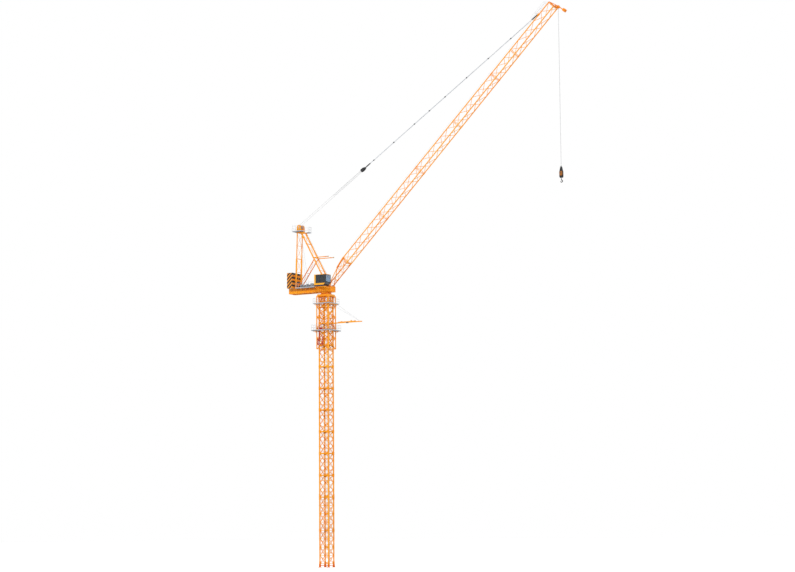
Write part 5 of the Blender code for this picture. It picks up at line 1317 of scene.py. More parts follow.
def a_frame():
    """Front legs, rear legs and struts, each pair tied and cross-braced, with pinned ends."""
    front, rear, struts, pins = batches("upper_works", 4)
    leg_pair(front, FRONT_FOOT, FRONT_TOP, FRONT_HALF, 19.8)
    collars(front, FRONT_FOOT, FRONT_TOP, FRONT_HALF, (0.018, 0.26, FRONT_TIE, 0.65, 0.786), 22.5)
    collars(front, FRONT_FOOT, FRONT_TOP, FRONT_HALF, (0.91, 0.978), 26.8, 34)
    ties_and_crosses(front, FRONT_FOOT, FRONT_TOP, FRONT_HALF, ((0.06, 8), (FRONT_TIE, 12), (0.786, 12),
        (0.26, 7)), ((0.06, 0.26), (0.26, FRONT_TIE), (FRONT_TIE, 0.786), (0.786, 0.975)), 2.6)
    tie = REAR_FOOT + (REAR_TOP - REAR_FOOT) * REAR_TIE
    leg_pair(rear, REAR_FOOT, REAR_TOP, REAR_HALF, 15.8)
    leg_pair(rear, REAR_FOOT + Z * 14, tie, REAR_HALF, 23.8)
    collars(rear, REAR_FOOT, REAR_TOP, REAR_HALF, (0.77, 0.985), 18.5)
    ties_and_crosses(rear, REAR_FOOT, REAR_TOP, REAR_HALF, ((0.1, 8), (REAR_TIE, 12), (0.77, 7), (0.3, 7)),
        ((0.1, 0.3), (0.3, REAR_TIE), (REAR_TIE, 0.77), (0.77, 0.98)), 2.4)
    for side in (-1, 1):
        foot = REAR_FOOT + Y * side * REAR_HALF
        rear.boxes([foot + Z * 3], (34, 28.8, 5.6))
        pins.rod(foot + Z * 12, Y * 14.5, 4.5, 16)
        for x in (-12, 12):
            pins.tubes(foot + (x, 0, 5.5), foot + (x, 0, 9.5), 2.6, 6)
    run = FRONT_TOP - FRONT_FOOT
    node = FRONT_FOOT + run * FRONT_TIE - unit(run) * 24
    end = np.array((-574, 0, 150))
    inside = FRONT_HALF - 17.3
    leg_pair(struts, node, end, inside, 13.8)
    strut_run = end - node
    struts.bar(node + strut_run * 0.5, Y * inside, square_tube(7, 1), up=strut_run)
    for a, b in ((0.06, 0.5), (0.5, 0.93)):
        crossed(struts, node + strut_run * a, node + strut_run * b, inside - 4, 2.2)
    struts.bar((-574, 0, 135.3), Y * 95.2, beam_section(29.6, 29.6, 8, 6))
    for side in (-1, 1):
        for place, radius in ((node, 4.5), (end, 5)):
            pins.tubes(place + Y * side * (inside - 9), place + Y * side * (inside + 9), radius, 16)
    front.piece("a_frame_front_legs", ORANGE, "a_frame_front", bevel=0.4)
    rear.piece("a_frame_rear_legs", ORANGE, "a_frame_rear", bevel=0.4)
    struts.piece("a_frame_strut_pair", DEEP_ORANGE, "a_frame_struts", bevel=0.4)
    pins.piece("a_frame_pins", BRIGHT)


HEAD_LOW, HEAD_X = 1175.6, -550


def a_frame_head():
    """Two long beams on the legs, cross beams that leave the ropes free, and ribbed bearing ears."""
    head, pins = batches("upper_works", 2)
    rear, front = -586, -466
    middle, beam_y, ear_y = HEAD_LOW + 6, 89.5, 58
    for side in (-1, 1):
        head.sweep((rear, side * beam_y, middle), (front, side * beam_y, middle), beam_section(16.5, 11.8, 5,
            3))
        head.sweep((rear, side * ear_y, middle), (front, side * ear_y, middle), channel_section(12.5, 11.8,
            3))
        for edge in (-1, 1):
            ear = ((-580, HEAD_LOW + 1), (-520, HEAD_LOW + 1), (-533, 1278), (-540, 1282.2), (-560, 1282.2),
                (-567, 1278))
            head.plate(ear, side * ear_y + edge * 4.5, 2.8)
        for x in (-567, -533):
            head.boxes((x, side * ear_y, 1225), (3, 7.5, 85))
        for z in (1210, 1250):
            head.boxes((HEAD_X, side * ear_y, z), (32, 7.5, 3))
        pins.rod((HEAD_X, side * ear_y, 1275.5), Y * 6.6, 3.8, 16)
        cover = ((-600, HEAD_LOW + 12.5), (-500, HEAD_LOW + 12.5), (-506, 1296), (-529, 1329), (-571, 1329),
            (-594, 1296))
        head.plate(cover, side * 67.2, 4.8)
        pins.tubes((HEAD_X, side * 69.2, 1291), (HEAD_X, side * 72.2, 1291), 12.5, 24)
        for x, z in ((-575, 1225), (-525, 1225), (HEAD_X, 1317)):
            pins.tubes((x, side * 69.2, z), (x, side * 71.2, z), 3, 6)
    for x in (rear + 6, front - 6):
        head.bar((x, 0, middle), Y * 97.2, square_tube(10.8, 1.5))
    head.piece("a_frame_head_beams", ORANGE, "a_frame_head", bevel=0.4)
    pins.piece("a_frame_head_pins", BRIGHT)


def a_frame_platform():
    """Service platform of grating round the head, with a railing that leaves the ropes' way free."""
    floor, rails = batches("upper_works", 2)
    level = 1188.5 + 3
    rear, front, half, hatch = -638, -418, 170, 70.3
    for near, far in ((-half + 1, -hatch), (hatch, half - 1)):
        grating_sheet(floor, rear + 1, front - 1, near, far, level, 6.6)
    grating_sheet(floor, rear + 1, rear + 30, -hatch + 2, hatch - 2, level, 6.6)
    edge = half - 2.5
    railing(rails, [(front - 2.5, hatch + 2), (front - 2.5, edge), (rear + 2.5, edge), (rear + 2.5, -edge),
        (front - 2.5, -edge), (front - 2.5, -hatch - 2)], level + 2, 108.5, 4, closed=False)
    floor.piece("a_frame_platform_grating", ZINC, "a_frame_platform")
    rails.piece("a_frame_platform_rails", PALE_ZINC)


def a_frame_ladder():
    """Ladder of round rungs beside the far front leg, with stand-off clips."""
    ladder = Batch("upper_works")
    run = unit(FRONT_TOP - FRONT_FOOT)
    far = FRONT_HALF + 10.3
    foot, top = FRONT_FOOT + run * 60 + Y * (far + 18), FRONT_TOP - run * 20 + Y * (far + 18)
    for hand in (-1, 1):
        ladder.sweep(foot + Y * hand * 16.3, top + Y * hand * 16.3, rectangle(3, 3.8), up=Y)
    rungs(ladder, foot, top, Y, 33, 30, 1.3)
    for share in np.linspace(0.04, 0.96, 6):
        at = foot + (top - foot) * share
        ladder.sweep(at - Y * 19.5, at - Y * 15, rectangle(6, 3), up=run)
    ladder.piece("a_frame_ladder_rungs", PALE_ZINC, "a_frame_ladder")


def jib_buffers():
    """Cross tube clamped on the front legs and two sprung stops with rubber tips."""
    tube, springs, tips = batches("upper_works", 3)
    low, high = ((np.array(corner) - JOINTS["slew"]) * PER_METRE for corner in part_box("jib_buffers"))
    level = (low[2] + high[2]) / 2
    start, end, y = low[0] + 6, high[0], 197 / 2
    tube.sweep((start, -y - 7.8, level), (start, y + 7.8, level), LIGHT_BEAM)
    for side in (-1, 1):
        tube.tubes((start, side * y, level), (end - 75, side * y, level), 7.8, 20)
        tube.tubes((end - 80, side * y, level), (end - 72, side * y, level), 10.5, 20)
        springs.tubes((end - 74, side * y, level), (end - 20, side * y, level), 4.2, 16)
        turn = np.linspace(0, 2 * math.pi * 7, 7 * 14 + 1)
        coil = np.stack([end - 72 + 49 * turn / turn[-1], *arc(side * y, level, 7.2, turn).T], 1)
        springs.hose(coil, 1.3, 6)
        tips.lathe((end - 24.5, side * y, level), X, [(0, 4), (0, 10.5), (2, 11.8), (14, 11.8), (21.5, 9.8),
            (24.3, 6), (24.3, 1)], 28)
    tube.piece("jib_buffer_tubes", ORANGE, "jib_buffers", bevel=0.4)
    springs.piece("jib_buffer_springs", ORANGE)
    tips.piece("jib_buffer_tips", BUFFER_PAD)


# ---------------------------------------------------------------- cab
CAB_REAR, CAB_FRONT, CAB_NEAR, CAB_FAR, CAB_LOW, CAB_TOP = -71, 181, -310, -130, 100, 326
NOSE = CAB_FRONT - 67.8
SILL = 178


def cab():
    """Driver's cab: bent frame of posts, yellow and navy panels, roof with a guard, and tinted panes."""
    yellow, navy, dark, side_panes, front_panes, nose_pane = batches("upper_works", 6)
    middle, width = (CAB_NEAR + CAB_FAR) / 2, CAB_FAR - CAB_NEAR
    yellow.boxes((CAB_REAR + 3, middle, (CAB_LOW + CAB_TOP) / 2), (5.8, width - 0.6, CAB_TOP - CAB_LOW - 1))
    yellow.boxes(((CAB_REAR + NOSE) / 2, middle, CAB_LOW + 3.2), (NOSE - CAB_REAR - 2, width - 1, 5.6))
    length = CAB_FRONT - CAB_REAR - 0.8
    yellow.boxes(((CAB_REAR + CAB_FRONT) / 2, middle, CAB_TOP - 6), (length, width - 1, 7.5))
    left, ledge, lintel, rim = CAB_REAR + 32, SILL - 18, CAB_TOP - 16.5, 3.2
    sill_front = NOSE + 47
    for hand, y in ((-1, CAB_NEAR), (1, CAB_FAR)):
        skin = y - hand * 2.2
        lower = [(CAB_REAR + 4, CAB_LOW + 26), (NOSE + 21.5, CAB_LOW + 26), (sill_front, ledge),
            (left, ledge), (left, CAB_TOP - 4), (CAB_REAR + 4, CAB_TOP - 4)]
        yellow.plate(lower, skin, 4)
        foot = [(CAB_REAR + 3, CAB_LOW + 1.5), (NOSE - 1, CAB_LOW + 1.5), (NOSE + 21, CAB_LOW + 26.2),
            (CAB_REAR + 3, CAB_LOW + 26.2)]
        navy.plate(foot, skin, 4.2)
        roof = [(left - 1, lintel), (CAB_FRONT - 0.6, lintel), (CAB_FRONT - 0.6, CAB_TOP - 9.8),
            (left - 1, CAB_TOP - 9.8)]
        navy.plate(roof, skin, 4.2)
        posts = [((left + rim / 2, ledge), (left + rim / 2, lintel)), ((52, ledge), (52, lintel)),
            ((CAB_FRONT - 2.8, SILL + 2), (CAB_FRONT - 2.8, lintel)),
            ((sill_front - 2, ledge + 1), (CAB_FRONT - 3, SILL + 3)),
            ((left, ledge + rim / 2), (sill_front, ledge + rim / 2)),
            ((left, lintel - rim / 2), (CAB_FRONT - 1, lintel - rim / 2))]  # uprights, slope, sill and lintel
        for (x0, z0), (x1, z1) in posts:
            dark.sweep((x0, skin, z0), (x1, skin, z1), rectangle(4.2, rim), up=Z if z0 == z1 else X)
        pane_line = [(left + 1, ledge + 1), (sill_front - 2, ledge + 1), (CAB_FRONT - 4, SILL + 2),
            (CAB_FRONT - 4, lintel - 1), (left + 1, lintel - 1)]
        side_panes.plate(pane_line, y - hand * 3.2, 1.2)
        dark.boxes((62, y - hand * 0.9, 200), (13, 1.4, 2.6))
        dark.tubes([(CAB_REAR + 22, y - hand * 1.8, 150)], [(CAB_REAR + 22, y - hand * 1.8, 290)], 1.4)
    front_run = np.array(((NOSE, CAB_LOW), (CAB_FRONT, SILL + 2), (CAB_FRONT, CAB_TOP - 10)))
    inner = width - 9
    for (x0, z0), (x1, z1) in zip(front_run, front_run[1:]):
        run = unit(np.array((x1 - x0, 0, z1 - z0)))
        inward = np.cross(run, Y)
        start, end = np.array((x0, middle, z0)) + inward * 2.6, np.array((x1, middle, z1)) + inward * 2.6
        glass = nose_pane if x0 != x1 else front_panes
        glass.sweep(start + run * 3, end - run * 2, rectangle(inner - 4, 1.2), up=inward)
        for hand in (-1, 1):
            edge = Y * hand * (inner / 2 - 1.8)
            dark.sweep(start + edge, end + edge, rectangle(7.2, 4.4), up=inward)
        for at in (start + run * 2.2, end - run * 2.2):
            dark.bar(at, Y * inner / 2, rectangle(4.4, 4.4), up=inward)
    dark.bar((NOSE - 0.5, middle, CAB_LOW + 5), Y * inner / 2, square_tube(9, 2))
    navy.boxes((CAB_FRONT - 4, middle, CAB_TOP - 13.5), (6.4, inner, 7.5))
    roof_level = CAB_TOP - 2.2
    dark.boxes((CAB_REAR + 60, middle, roof_level - 0.3), (60, 90, 4))
    for x in np.linspace(CAB_REAR + 36, CAB_REAR + 84, 9):
        dark.boxes((x, middle, roof_level + 1.2), (1.8, 78, 1.4))
    for y in (CAB_NEAR + 20, middle, CAB_FAR - 20):
        dark.tubes((50, y, roof_level), (CAB_FRONT - 6, y, roof_level), 1.4)
    for x in (55, 115, CAB_FRONT - 9):
        dark.tubes((x, CAB_NEAR + 18, roof_level), (x, CAB_FAR - 18, roof_level), 1.4)
    yellow.piece("cab_frame", CAB_YELLOW, "cab_shell", bevel=0.8)
    navy.piece("cab_navy_panels", NAVY, bevel=0.5)
    dark.piece("cab_window_rims", RUBBER, bevel=0.3)
    side_panes.piece("cab_side_panes", SIDE_GLASS, "cab_glass")
    front_panes.piece("cab_front_panes", FRONT_GLASS)
    nose_pane.piece("cab_nose_pane", SIDE_GLASS)


def cushion(centre, size, crown, bulge=0.35, tilt=0):
    """Closed pad on a grid: x = sign(cos v)|cos v|^bulge and so on, with a crown on its top.

    A superellipsoid: the exponent squares its outline, and the crown lifts the middle of the top.
    """
    u = np.linspace(-math.pi / 2, math.pi / 2, 17)[:, None]
    v = np.linspace(-math.pi, math.pi, 33)[None, :-1]
    power = lambda value: np.sign(value) * np.abs(value) ** bulge
    x = power(np.cos(u)) * power(np.cos(v))
    y = power(np.cos(u)) * power(np.sin(v))
    z = power(np.sin(u)) * np.ones_like(v) + crown * (1 - x ** 2) * (1 - y ** 2) * (np.sin(u) > 0)
    points = np.stack([x, y, z], -1) * np.array(size) / 2
    turned = np.array(((math.cos(tilt), 0, math.sin(tilt)), (0, 1, 0), (-math.sin(tilt), 0, math.cos(tilt))))
    return points @ turned.T + centre


def driver_seat():
    """Seat, back and head pad, arm consoles with levers, pedals and a screen."""
    pads, console, levers = batches("upper_works", 3)
    middle = (CAB_NEAR + CAB_FAR) / 2
    x = 30
    upright = -math.pi / 2 - 0.16
    for centre, size, crown, tilt in (((x, middle, 151), (50, 48, 13), 0.25, -0.06), ((x - 24, middle, 186),
            (64, 46, 12), 0.2, upright), ((x - 31, middle, 227.5), (18, 26, 9), 0.2, upright)):
        pads.ball(cushion(centre, size, crown, tilt=tilt))
    console.lathe((x, middle, 106), Z, [(0, 4), (0, 18), (3, 18), (5, 8), (34, 7), (38, 14), (39.5, 14),
        (39.5, 3)], 24)
    for hand in (-1, 1):
        y = middle + hand * 34
        console.boxes((x + 10, y, 158), (50, 13, 20))
        console.boxes((x + 31, y, 170.5), (14, 12, 6))
        levers.tubes((x + 31, y, 172), (x + 34, y, 187), 1.2)
        levers.lathe((x + 34, y, 186), Z, [(0, 1.2), (1, 2.8), (6, 3.4), (9, 2.6), (10.2, 0.8)], 14)
        levers.boxes((107, middle + hand * 12, 112), (14, 9, 2.5))
    console.boxes((122, middle + 45, 212), (3, 34, 26))
    levers.tubes((122, middle + 45, 200), (118, middle + 62, 130), 1.6)
    levers.tubes((118, middle + 62, 130), (110, middle + 70, 108), 1.6)
    pads.piece("cab_seat_pads", CLOTH)
    console.piece("cab_consoles", PLASTIC, bevel=0.6)
    levers.piece("cab_levers", RUBBER)


turntable()
counter_deck()
deck_walkway()
counterweight()
winch("hoist_winch", -495, 26)
winch("luffing_winch", -370, 26)
electric_cabinet()
a_frame()
a_frame_head()
a_frame_platform()
a_frame_ladder()
jib_buffers()
cab()
driver_seat()


# ---------------------------------------------------------------- jib
JIB_HALF, JIB_TALL, JIB_CHORD = 85, 168, 16
SECTION_LENGTH = 1098
ROOT = 540
SECTIONS = [(SECTION_LENGTH, 6)] * 4 + [(556, 3), (1090, 5)]
JIB_END = ROOT + sum(length for length, bays in SECTIONS)
LUG = JIB_END - 294


def jib_nodes(start, runs, first):
    """Places of the zigzag's corners along the jib, and on which edge each lies."""
    along, edges, place = [], [], start
    for length, bays in runs:
        along.append(place + np.arange(bays + 1) * length / bays)
        edges.append(first * (-1) ** np.arange(bays + 1))
        place += length
    return along, edges


def lace(batch, runs, start, edge_low, edge_high, first, radius, inset=11):
    """Diagonals of one jib face: from the low edge to the high one and back, joint to joint."""
    for along, edge in zip(*jib_nodes(start, runs, first)):
        along = along.copy()
        along[0] += inset
        along[-1] -= inset
        share = (edge[:, None] + 1) / 2
        points = edge_low * (1 - share) + edge_high * share + X * along[:, None]
        batch.tubes(points[:-1], points[1:], radius)


def jib_stretch(label, start, runs):
    """Bottom face and two sloping faces of a stretch: chords, W bracing, joint frames, forks and pegs."""
    length = sum(run[0] for run in runs)
    joints = start + np.concatenate([[0], np.cumsum([run[0] for run in runs])])
    left, right, top = np.array((0, -JIB_HALF, 0)), np.array((0, JIB_HALF, 0)), np.array((0, 0, JIB_TALL))
    bottom, near, far, pegs = batches("jib", 4)
    ends = [(joints[n] + GAP, joints[n + 1] - GAP) for n in range(len(runs))]
    for low, high in ends:
        for edge in (left, right):
            bottom.sweep(edge + X * low, edge + X * high, square_tube(JIB_CHORD, 2.6))
        near.sweep(top + X * low, top + X * high, square_tube(JIB_CHORD, 2.6))
        for at in (low + 10.5, high - 10.5):
            for edge, batch in ((left, bottom), (right, bottom), (top, near)):
                batch.sweep(edge + X * (at - 9.5), edge + X * (at + 9.5), square_tube(19.6, 2.4))
                pegs.rod(edge + X * at, Y * 11.8, 3.2)
            bottom.tubes(left + X * at, right + X * at, 3.4)
            near.tubes(left + X * at + (top - left) * 0.04, top + X * at - (top - left) * 0.03, 3.4)
            far.tubes(right + X * at + (top - right) * 0.04, top + X * at - (top - right) * 0.03, 3.4)
    lace(bottom, runs, start, left, right, 1, 3.8)
    lace(near, runs, start, left, top, -1, 4)
    lace(far, runs, start, right, top, 1, 4)
    for along, edge in zip(*jib_nodes(start, runs, 1)):
        for a, b in zip(along[1:-1], edge[1:-1]):
            corner = left if b < 0 else right
            bottom.bar(corner + X * a - Y * b * 8, X * 20, rectangle(12, 2))
    peg_step = 549
    spots = np.arange(start + peg_step / 2, start + length, peg_step)
    foot = top + X * spots[:, None] + Z * 6
    near.tubes(foot, foot + Z * 26, 1.4, 6)
    near.bar(foot + Z * 26.5, Y * 4, rectangle(3, 3))
    after = spots[-1] + (0 if start > ROOT else peg_step)
    line = np.append(spots, after) if after > spots[-1] else spots
    pegs.tubes(top + X * line[:-1, None] + Z * 33, top + X * line[1:, None] + Z * 33, 0.7, 5)
    for at in start + np.array((120, 120 + SECTION_LENGTH)):
        bottom.boxes([left + X * at - Z * 11.5], (14, 8, 8))
    if start < LUG < start + length:
        ear = [(LUG - 24, JIB_TALL - 4), (LUG + 24, JIB_TALL - 4), *arc(LUG, JIB_TALL + 16, 12, np.linspace(0,
            math.pi, 13))]
        for side in (-1, 1):
            near.plate(ear, side * 17.6, 5.8)
        near.boxes((LUG, 0, JIB_TALL + 1), (50, 46, 6))
    bottom.piece(f"{label}_bottom_face", BRIGHT_ORANGE, f"{label}_bottom")
    near.piece(f"{label}_near_face", BRIGHT_ORANGE, f"{label}_near")
    far.piece(f"{label}_far_face", BRIGHT_ORANGE, f"{label}_far")
    pegs.piece(f"{label}_pins", PALE_ZINC)


def jib_root():
    """Foot section: heavy lower beams from the hinge eyes, legs to a knee, and the end frame."""
    steel, heavy, pins = batches("jib", 3)
    end = ROOT - GAP
    knee = np.array((end * 0.61, 0, 133))
    for side in (-1, 1):
        foot = np.array((0, side * JIB_HALF, 0))
        heavy.lathe(foot - Y * 7.8, Y, [(0, 9.7), (0, 14.2), (1, 14.8), (14.6, 14.8), (15.6, 14.2),
            (15.6, 9.7)], 32, ring=True)
        heavy.sweep(foot + X * 12.2, foot + X * (end - 1), square_tube(15.8, 2.2))
        heavy.sweep(foot + X * 12.5, foot + X * 45, rectangle(17.2, 19.5))
        steel.sweep(foot + X * 30 + Z * 4, knee - X * 4, square_tube(11.8, 1.8))
        for share in (0.25, 0.6):
            rise = 133 * (share * end - 30) / (knee[0] - 30) - 3
            steel.tubes(foot + X * end * share, (end * share, 0, rise), 3)
            heavy.bar(foot + X * end * share, X * 12, square_tube(19, 2))
        steel.tubes(foot + X * end * 0.6, (end - 10, 0, JIB_TALL - 8), 3.2)
        steel.tubes(foot + X * (end - 20), (knee[0], 0, 130), 3.2)
        frame_foot = np.array((end - 6.5, side * JIB_HALF, 0))
        heavy.sweep(frame_foot, (end - 6.5, 0, JIB_TALL), LIGHT_BEAM, up=X)
        pins.tubes(frame_foot - Y * 11.2 - X * 4, frame_foot + Y * 11.2 - X * 4, 3.2)
    heavy.sweep(knee - X * 12, (end - 4, 0, JIB_TALL - 0.5), channel_section(23.6, 22.5, 4))
    heavy.sweep(knee - X * 12 + Y * 0.5, (end - 4, 0.5, JIB_TALL - 0.5), rectangle(20, 19))
    for share in (0.1, 0.25, 0.6):
        steel.rod((end * share, 0, 0), Y * JIB_HALF, 3.6)
    for a, b, hand in ((end * 0.1, end * 0.25, 1), (end * 0.25, end * 0.6, 1), (end * 0.25, end * 0.6, -1),
            (end * 0.6, end - 10, 1)):
        steel.tubes((a, -hand * JIB_HALF, 0), (b, hand * JIB_HALF, 0), 3)
    frame = end - 6
    heavy.bar((frame, 0, 0), Y * JIB_HALF, LIGHT_BEAM, up=X)
    heavy.bar((frame, 0, 34), Y * 113, LIGHT_BEAM, up=X)
    for side in (-1, 1):
        heavy.boxes((frame, side * 98.5, 40.2), (11.2, 26, 1.8))
        steel.sweep((frame - 2, side * 108, 32), (frame - 90, side * (JIB_HALF + 2), 3), rectangle(6, 6))
    heavy.boxes((end - 13.5, 0, JIB_TALL), (26.2, 23.5, 11.8))
    steel.piece("jib_root_lacing", ORANGE)
    heavy.piece("jib_root_beams", DEEP_ORANGE, "jib_root", bevel=0.5)
    pins.piece("jib_root_pins", BRIGHT)


def jib_head():
    """End frame, sheave arms with plates and a rope anchor box, deflector roller and a small railing."""
    steel, pale, roller = batches("jib", 3)
    start, arm_y = JIB_END + 6.3, 24
    rail_start, rail_end, rail_y = JIB_END - 420, JIB_END - 60, 36.5
    end = start + 50 - 12
    foot = np.array((end + 30, 0, -190))
    for side in (-1, 1):
        y = side * arm_y
        steel.sweep((start, y, 0), (end, y, 0), LIGHT_BEAM)
        arm = (foot[0] - 8, -188), (foot[0] + 8, -188), (end + 8.2, 7), (end - 7.8, 7)
        steel.plate(arm, y, 15.5)
        for share in (0.15, 0.42, 0.68):
            spot = np.array((end, y, 0)) * (1 - share) + (foot + Y * y) * share
            steel.rod(spot, Y * 8.2, 5.2, 18)
        steel.sweep((start, side * JIB_HALF, 0), (start, side * 4, JIB_TALL - 6), LIGHT_BEAM, up=X)
        steel.sweep((start - 2, side * JIB_HALF, 0), (end, side * 30, 0), square_tube(8, 1.2))
    steel.sweep((start, 0, JIB_TALL - 4), (end, 0, JIB_CHORD), LIGHT_BEAM)
    steel.bar((start, 0, 0), Y * JIB_HALF, LIGHT_BEAM, up=X)
    steel.bar((end, 0, 0), Y * arm_y, LIGHT_BEAM, up=X)
    middle = foot + Z * (25 - 12)
    steel.boxes([middle], (40.5, 70, 40.5))
    for y in (-35.2, 0, 35.2):
        steel.boxes([middle + Y * y], (49.6, 5, 49.6))
    for x, z in ((-11.5, 11.5), (11.5, -11.5)):
        steel.tubes(middle + (x, -37.9, z), middle + (x, 37.9, z), 6.2, 18)
    roller.lathe((start + 20, -17, 16.5), Y, [(0, 2), (0, 8), (2, 8), (3.5, 5.5), (30.5, 5.5), (32, 8),
        (34, 8), (34, 2)], 20)
    for at in np.linspace(rail_start, rail_end, 4):
        for side in (-1, 1):
            foot_place = np.array((at, side * 6.5, JIB_TALL))
            pale.tubes(foot_place, foot_place + (0, side * 30, 6), 1.4, 6)
            pale.tubes(foot_place + (0, side * 30, 6), foot_place + (0, side * 30, 72.5), 1.3, 6)
    for side in (-1, 1):
        for z in (JIB_TALL + 40, JIB_TALL + 72):
            pale.tubes((rail_start, side * rail_y, z), (rail_end, side * rail_y, z), 1.3, 6)
        pale.tubes((rail_end, side * rail_y, JIB_TALL + 72), (JIB_END, side * 20, JIB_TALL - 2), 1.3, 6)
    steel.piece("jib_head_frame", DEEP_ORANGE, "jib_head", bevel=0.5)
    roller.piece("jib_head_roller", DEEP_ORANGE)
    pale.piece("jib_tip_railing", PALE_ZINC)


# ---------------------------------------------------------------- luffing gear
def rope_line(batch, start, end, radius, lay=30):
    """Six-stranded rope: the outline r = radius * (0.89 + 0.11 * cos(6 * turn)) twists once in each lay."""
    start, end = np.array(start, float), np.array(end, float)
    length = np.linalg.norm(end - start)
    run = (end - start) / length
    side = unit(np.cross(run, (0.3, 0.9, 0.2)))
    rise = np.cross(run, side)
    rings = max(int(length / lay * 7), 4)
    turn = around(12)
    ripple = radius * (0.89 + 0.11 * np.cos(6 * turn))
    twist = np.linspace(0, length / lay * 2 * math.pi, rings)[:, None] + turn[None]
    centre = start + run * np.linspace(0, length, rings)[:, None]
    ring = np.cos(twist)[..., None] * side + np.sin(twist)[..., None] * rise
    batch.skin(centre[:, None] + ripple[None, :, None] * ring)


def sheave(batch, centre, axis, radius, width, steps=40):
    """Grooved wheel: rim, groove for the rope, thin web and hub."""
    half = width / 2
    rim = [(1, 0.12), (1, 0.3), (0.45, 0.34), (0.45, 0.76), (1, 0.82), (1, 0.985), (0.8, 1), (0.35, 0.9)]
    profile = [(-half * a, radius * r) for a, r in rim] + [(half * a, radius * r) for a, r in rim[::-1]]
    batch.lathe(centre, axis, profile, steps)


PENDANT_LENGTH = 4300
LUFFING_ROPE, HOIST_ROPE = 1.4, 1.3


def pendants():
    """Two flat bars in lengths joined by pinned links, from the jib's lug to the block."""
    bars, links, pins, sleeves = batches("pendant", 4)
    spread = 9
    shares = np.array((0, 0.152, 0.28, 0.405, 0.53, 0.622, 0.71, 0.833, 0.953, 1))
    spots = -6 - (PENDANT_LENGTH - 12) * shares
    for side in (-1, 1):
        for a, b in zip(spots, spots[1:]):
            bars.sweep((b + 6, side * spread, 0), (a - 6, side * spread, 0), rectangle(3.4, 5.8))
        for a, b in ((spots[0] - 18, -150), (spots[-1] + 16, spots[-1] + 110)):
            sleeves.sweep((a, side * spread, 0), (b, side * spread, 0), rectangle(6.2, 11.2))
        for x in spots:
            for shift in (-3.1, 3.1):
                right = arc(x + 10.2, 0, 4.7, np.linspace(-math.pi / 2, math.pi / 2, 7))
                links.plate([*right, *((2 * x, 0) - right)], side * spread + shift, 2.2)
            for shift in (-9.5, 9.5):
                pins.rod((x + shift, side * spread, 0), Y * 4.9, 2.4, 10)
    pins.rod((0, 0, 0), Y * 23.2, 5.8, 20)
    for side in (-1, 1):
        pins.tubes((0, side * 20.6, 0), (0, side * 23.5, 0), 8.5, 20)
    bars.piece("pendant_flat_bars", ROD_ZINC, "pendant_bars", bevel=0.4)
    links.piece("pendant_links", DARK_STEEL)
    sleeves.piece("pendant_end_links", BLACK, bevel=0.6)
    pins.piece("pendant_pins", BRIGHT)


BLOCK_NEAR = 6 - PENDANT_LENGTH - 15 - GAP
BLOCK_FAR = BLOCK_NEAR - 100


def luffing_block():
    """Block at the pendants' lower end: two tapered cheeks with spacers, and sheaves between them."""
    cheeks, wheels, pins = batches("pendant", 3)
    centre = np.array((BLOCK_FAR + 34, 0, 0))
    skin, cap = 24.5, 27.9
    outline = np.array(((BLOCK_NEAR - 0.5, -9.5), (BLOCK_NEAR - 0.5, 9.5), (BLOCK_NEAR - 46, 24.5),
        (BLOCK_FAR + 12, 24.8), (BLOCK_FAR + 0.5, 17), (BLOCK_FAR + 0.5, -17), (BLOCK_FAR + 12, -24.8),
        (BLOCK_NEAR - 46, -24.5)))
    for side in (-1, 1):
        cheeks.plate(outline, side * 24.4, 4.6)
        pins.tubes(centre + Y * side * skin, centre + Y * side * cap, 9.8, 24)
        pins.tubes((BLOCK_NEAR - 13, side * skin, 0), (BLOCK_NEAR - 13, side * cap, 0), 6.2, 20)
    cheeks.plate(outline * (1, 0.78), 0, 3)
    for z in (13.5, -13.5):
        cheeks.rod((BLOCK_NEAR - 34, 0, z), Y * 24, 3.2, 12)
    cheeks.boxes((BLOCK_NEAR - 8.5, 0, 0), (15.8, 46, 12.8))
    for y in (-17.8, -8.3, 8.3, 17.8):
        sheave(wheels, centre + Y * y, Y, 22.2, 7.4, 32)
    pins.rod(centre, Y * 24, 4.5, 16)
    cheeks.piece("luffing_block_cheeks", BLACK, "luffing_block", bevel=0.6)
    wheels.piece("luffing_block_sheaves", BLACK)
    pins.piece("luffing_block_pins", DARK_STEEL)


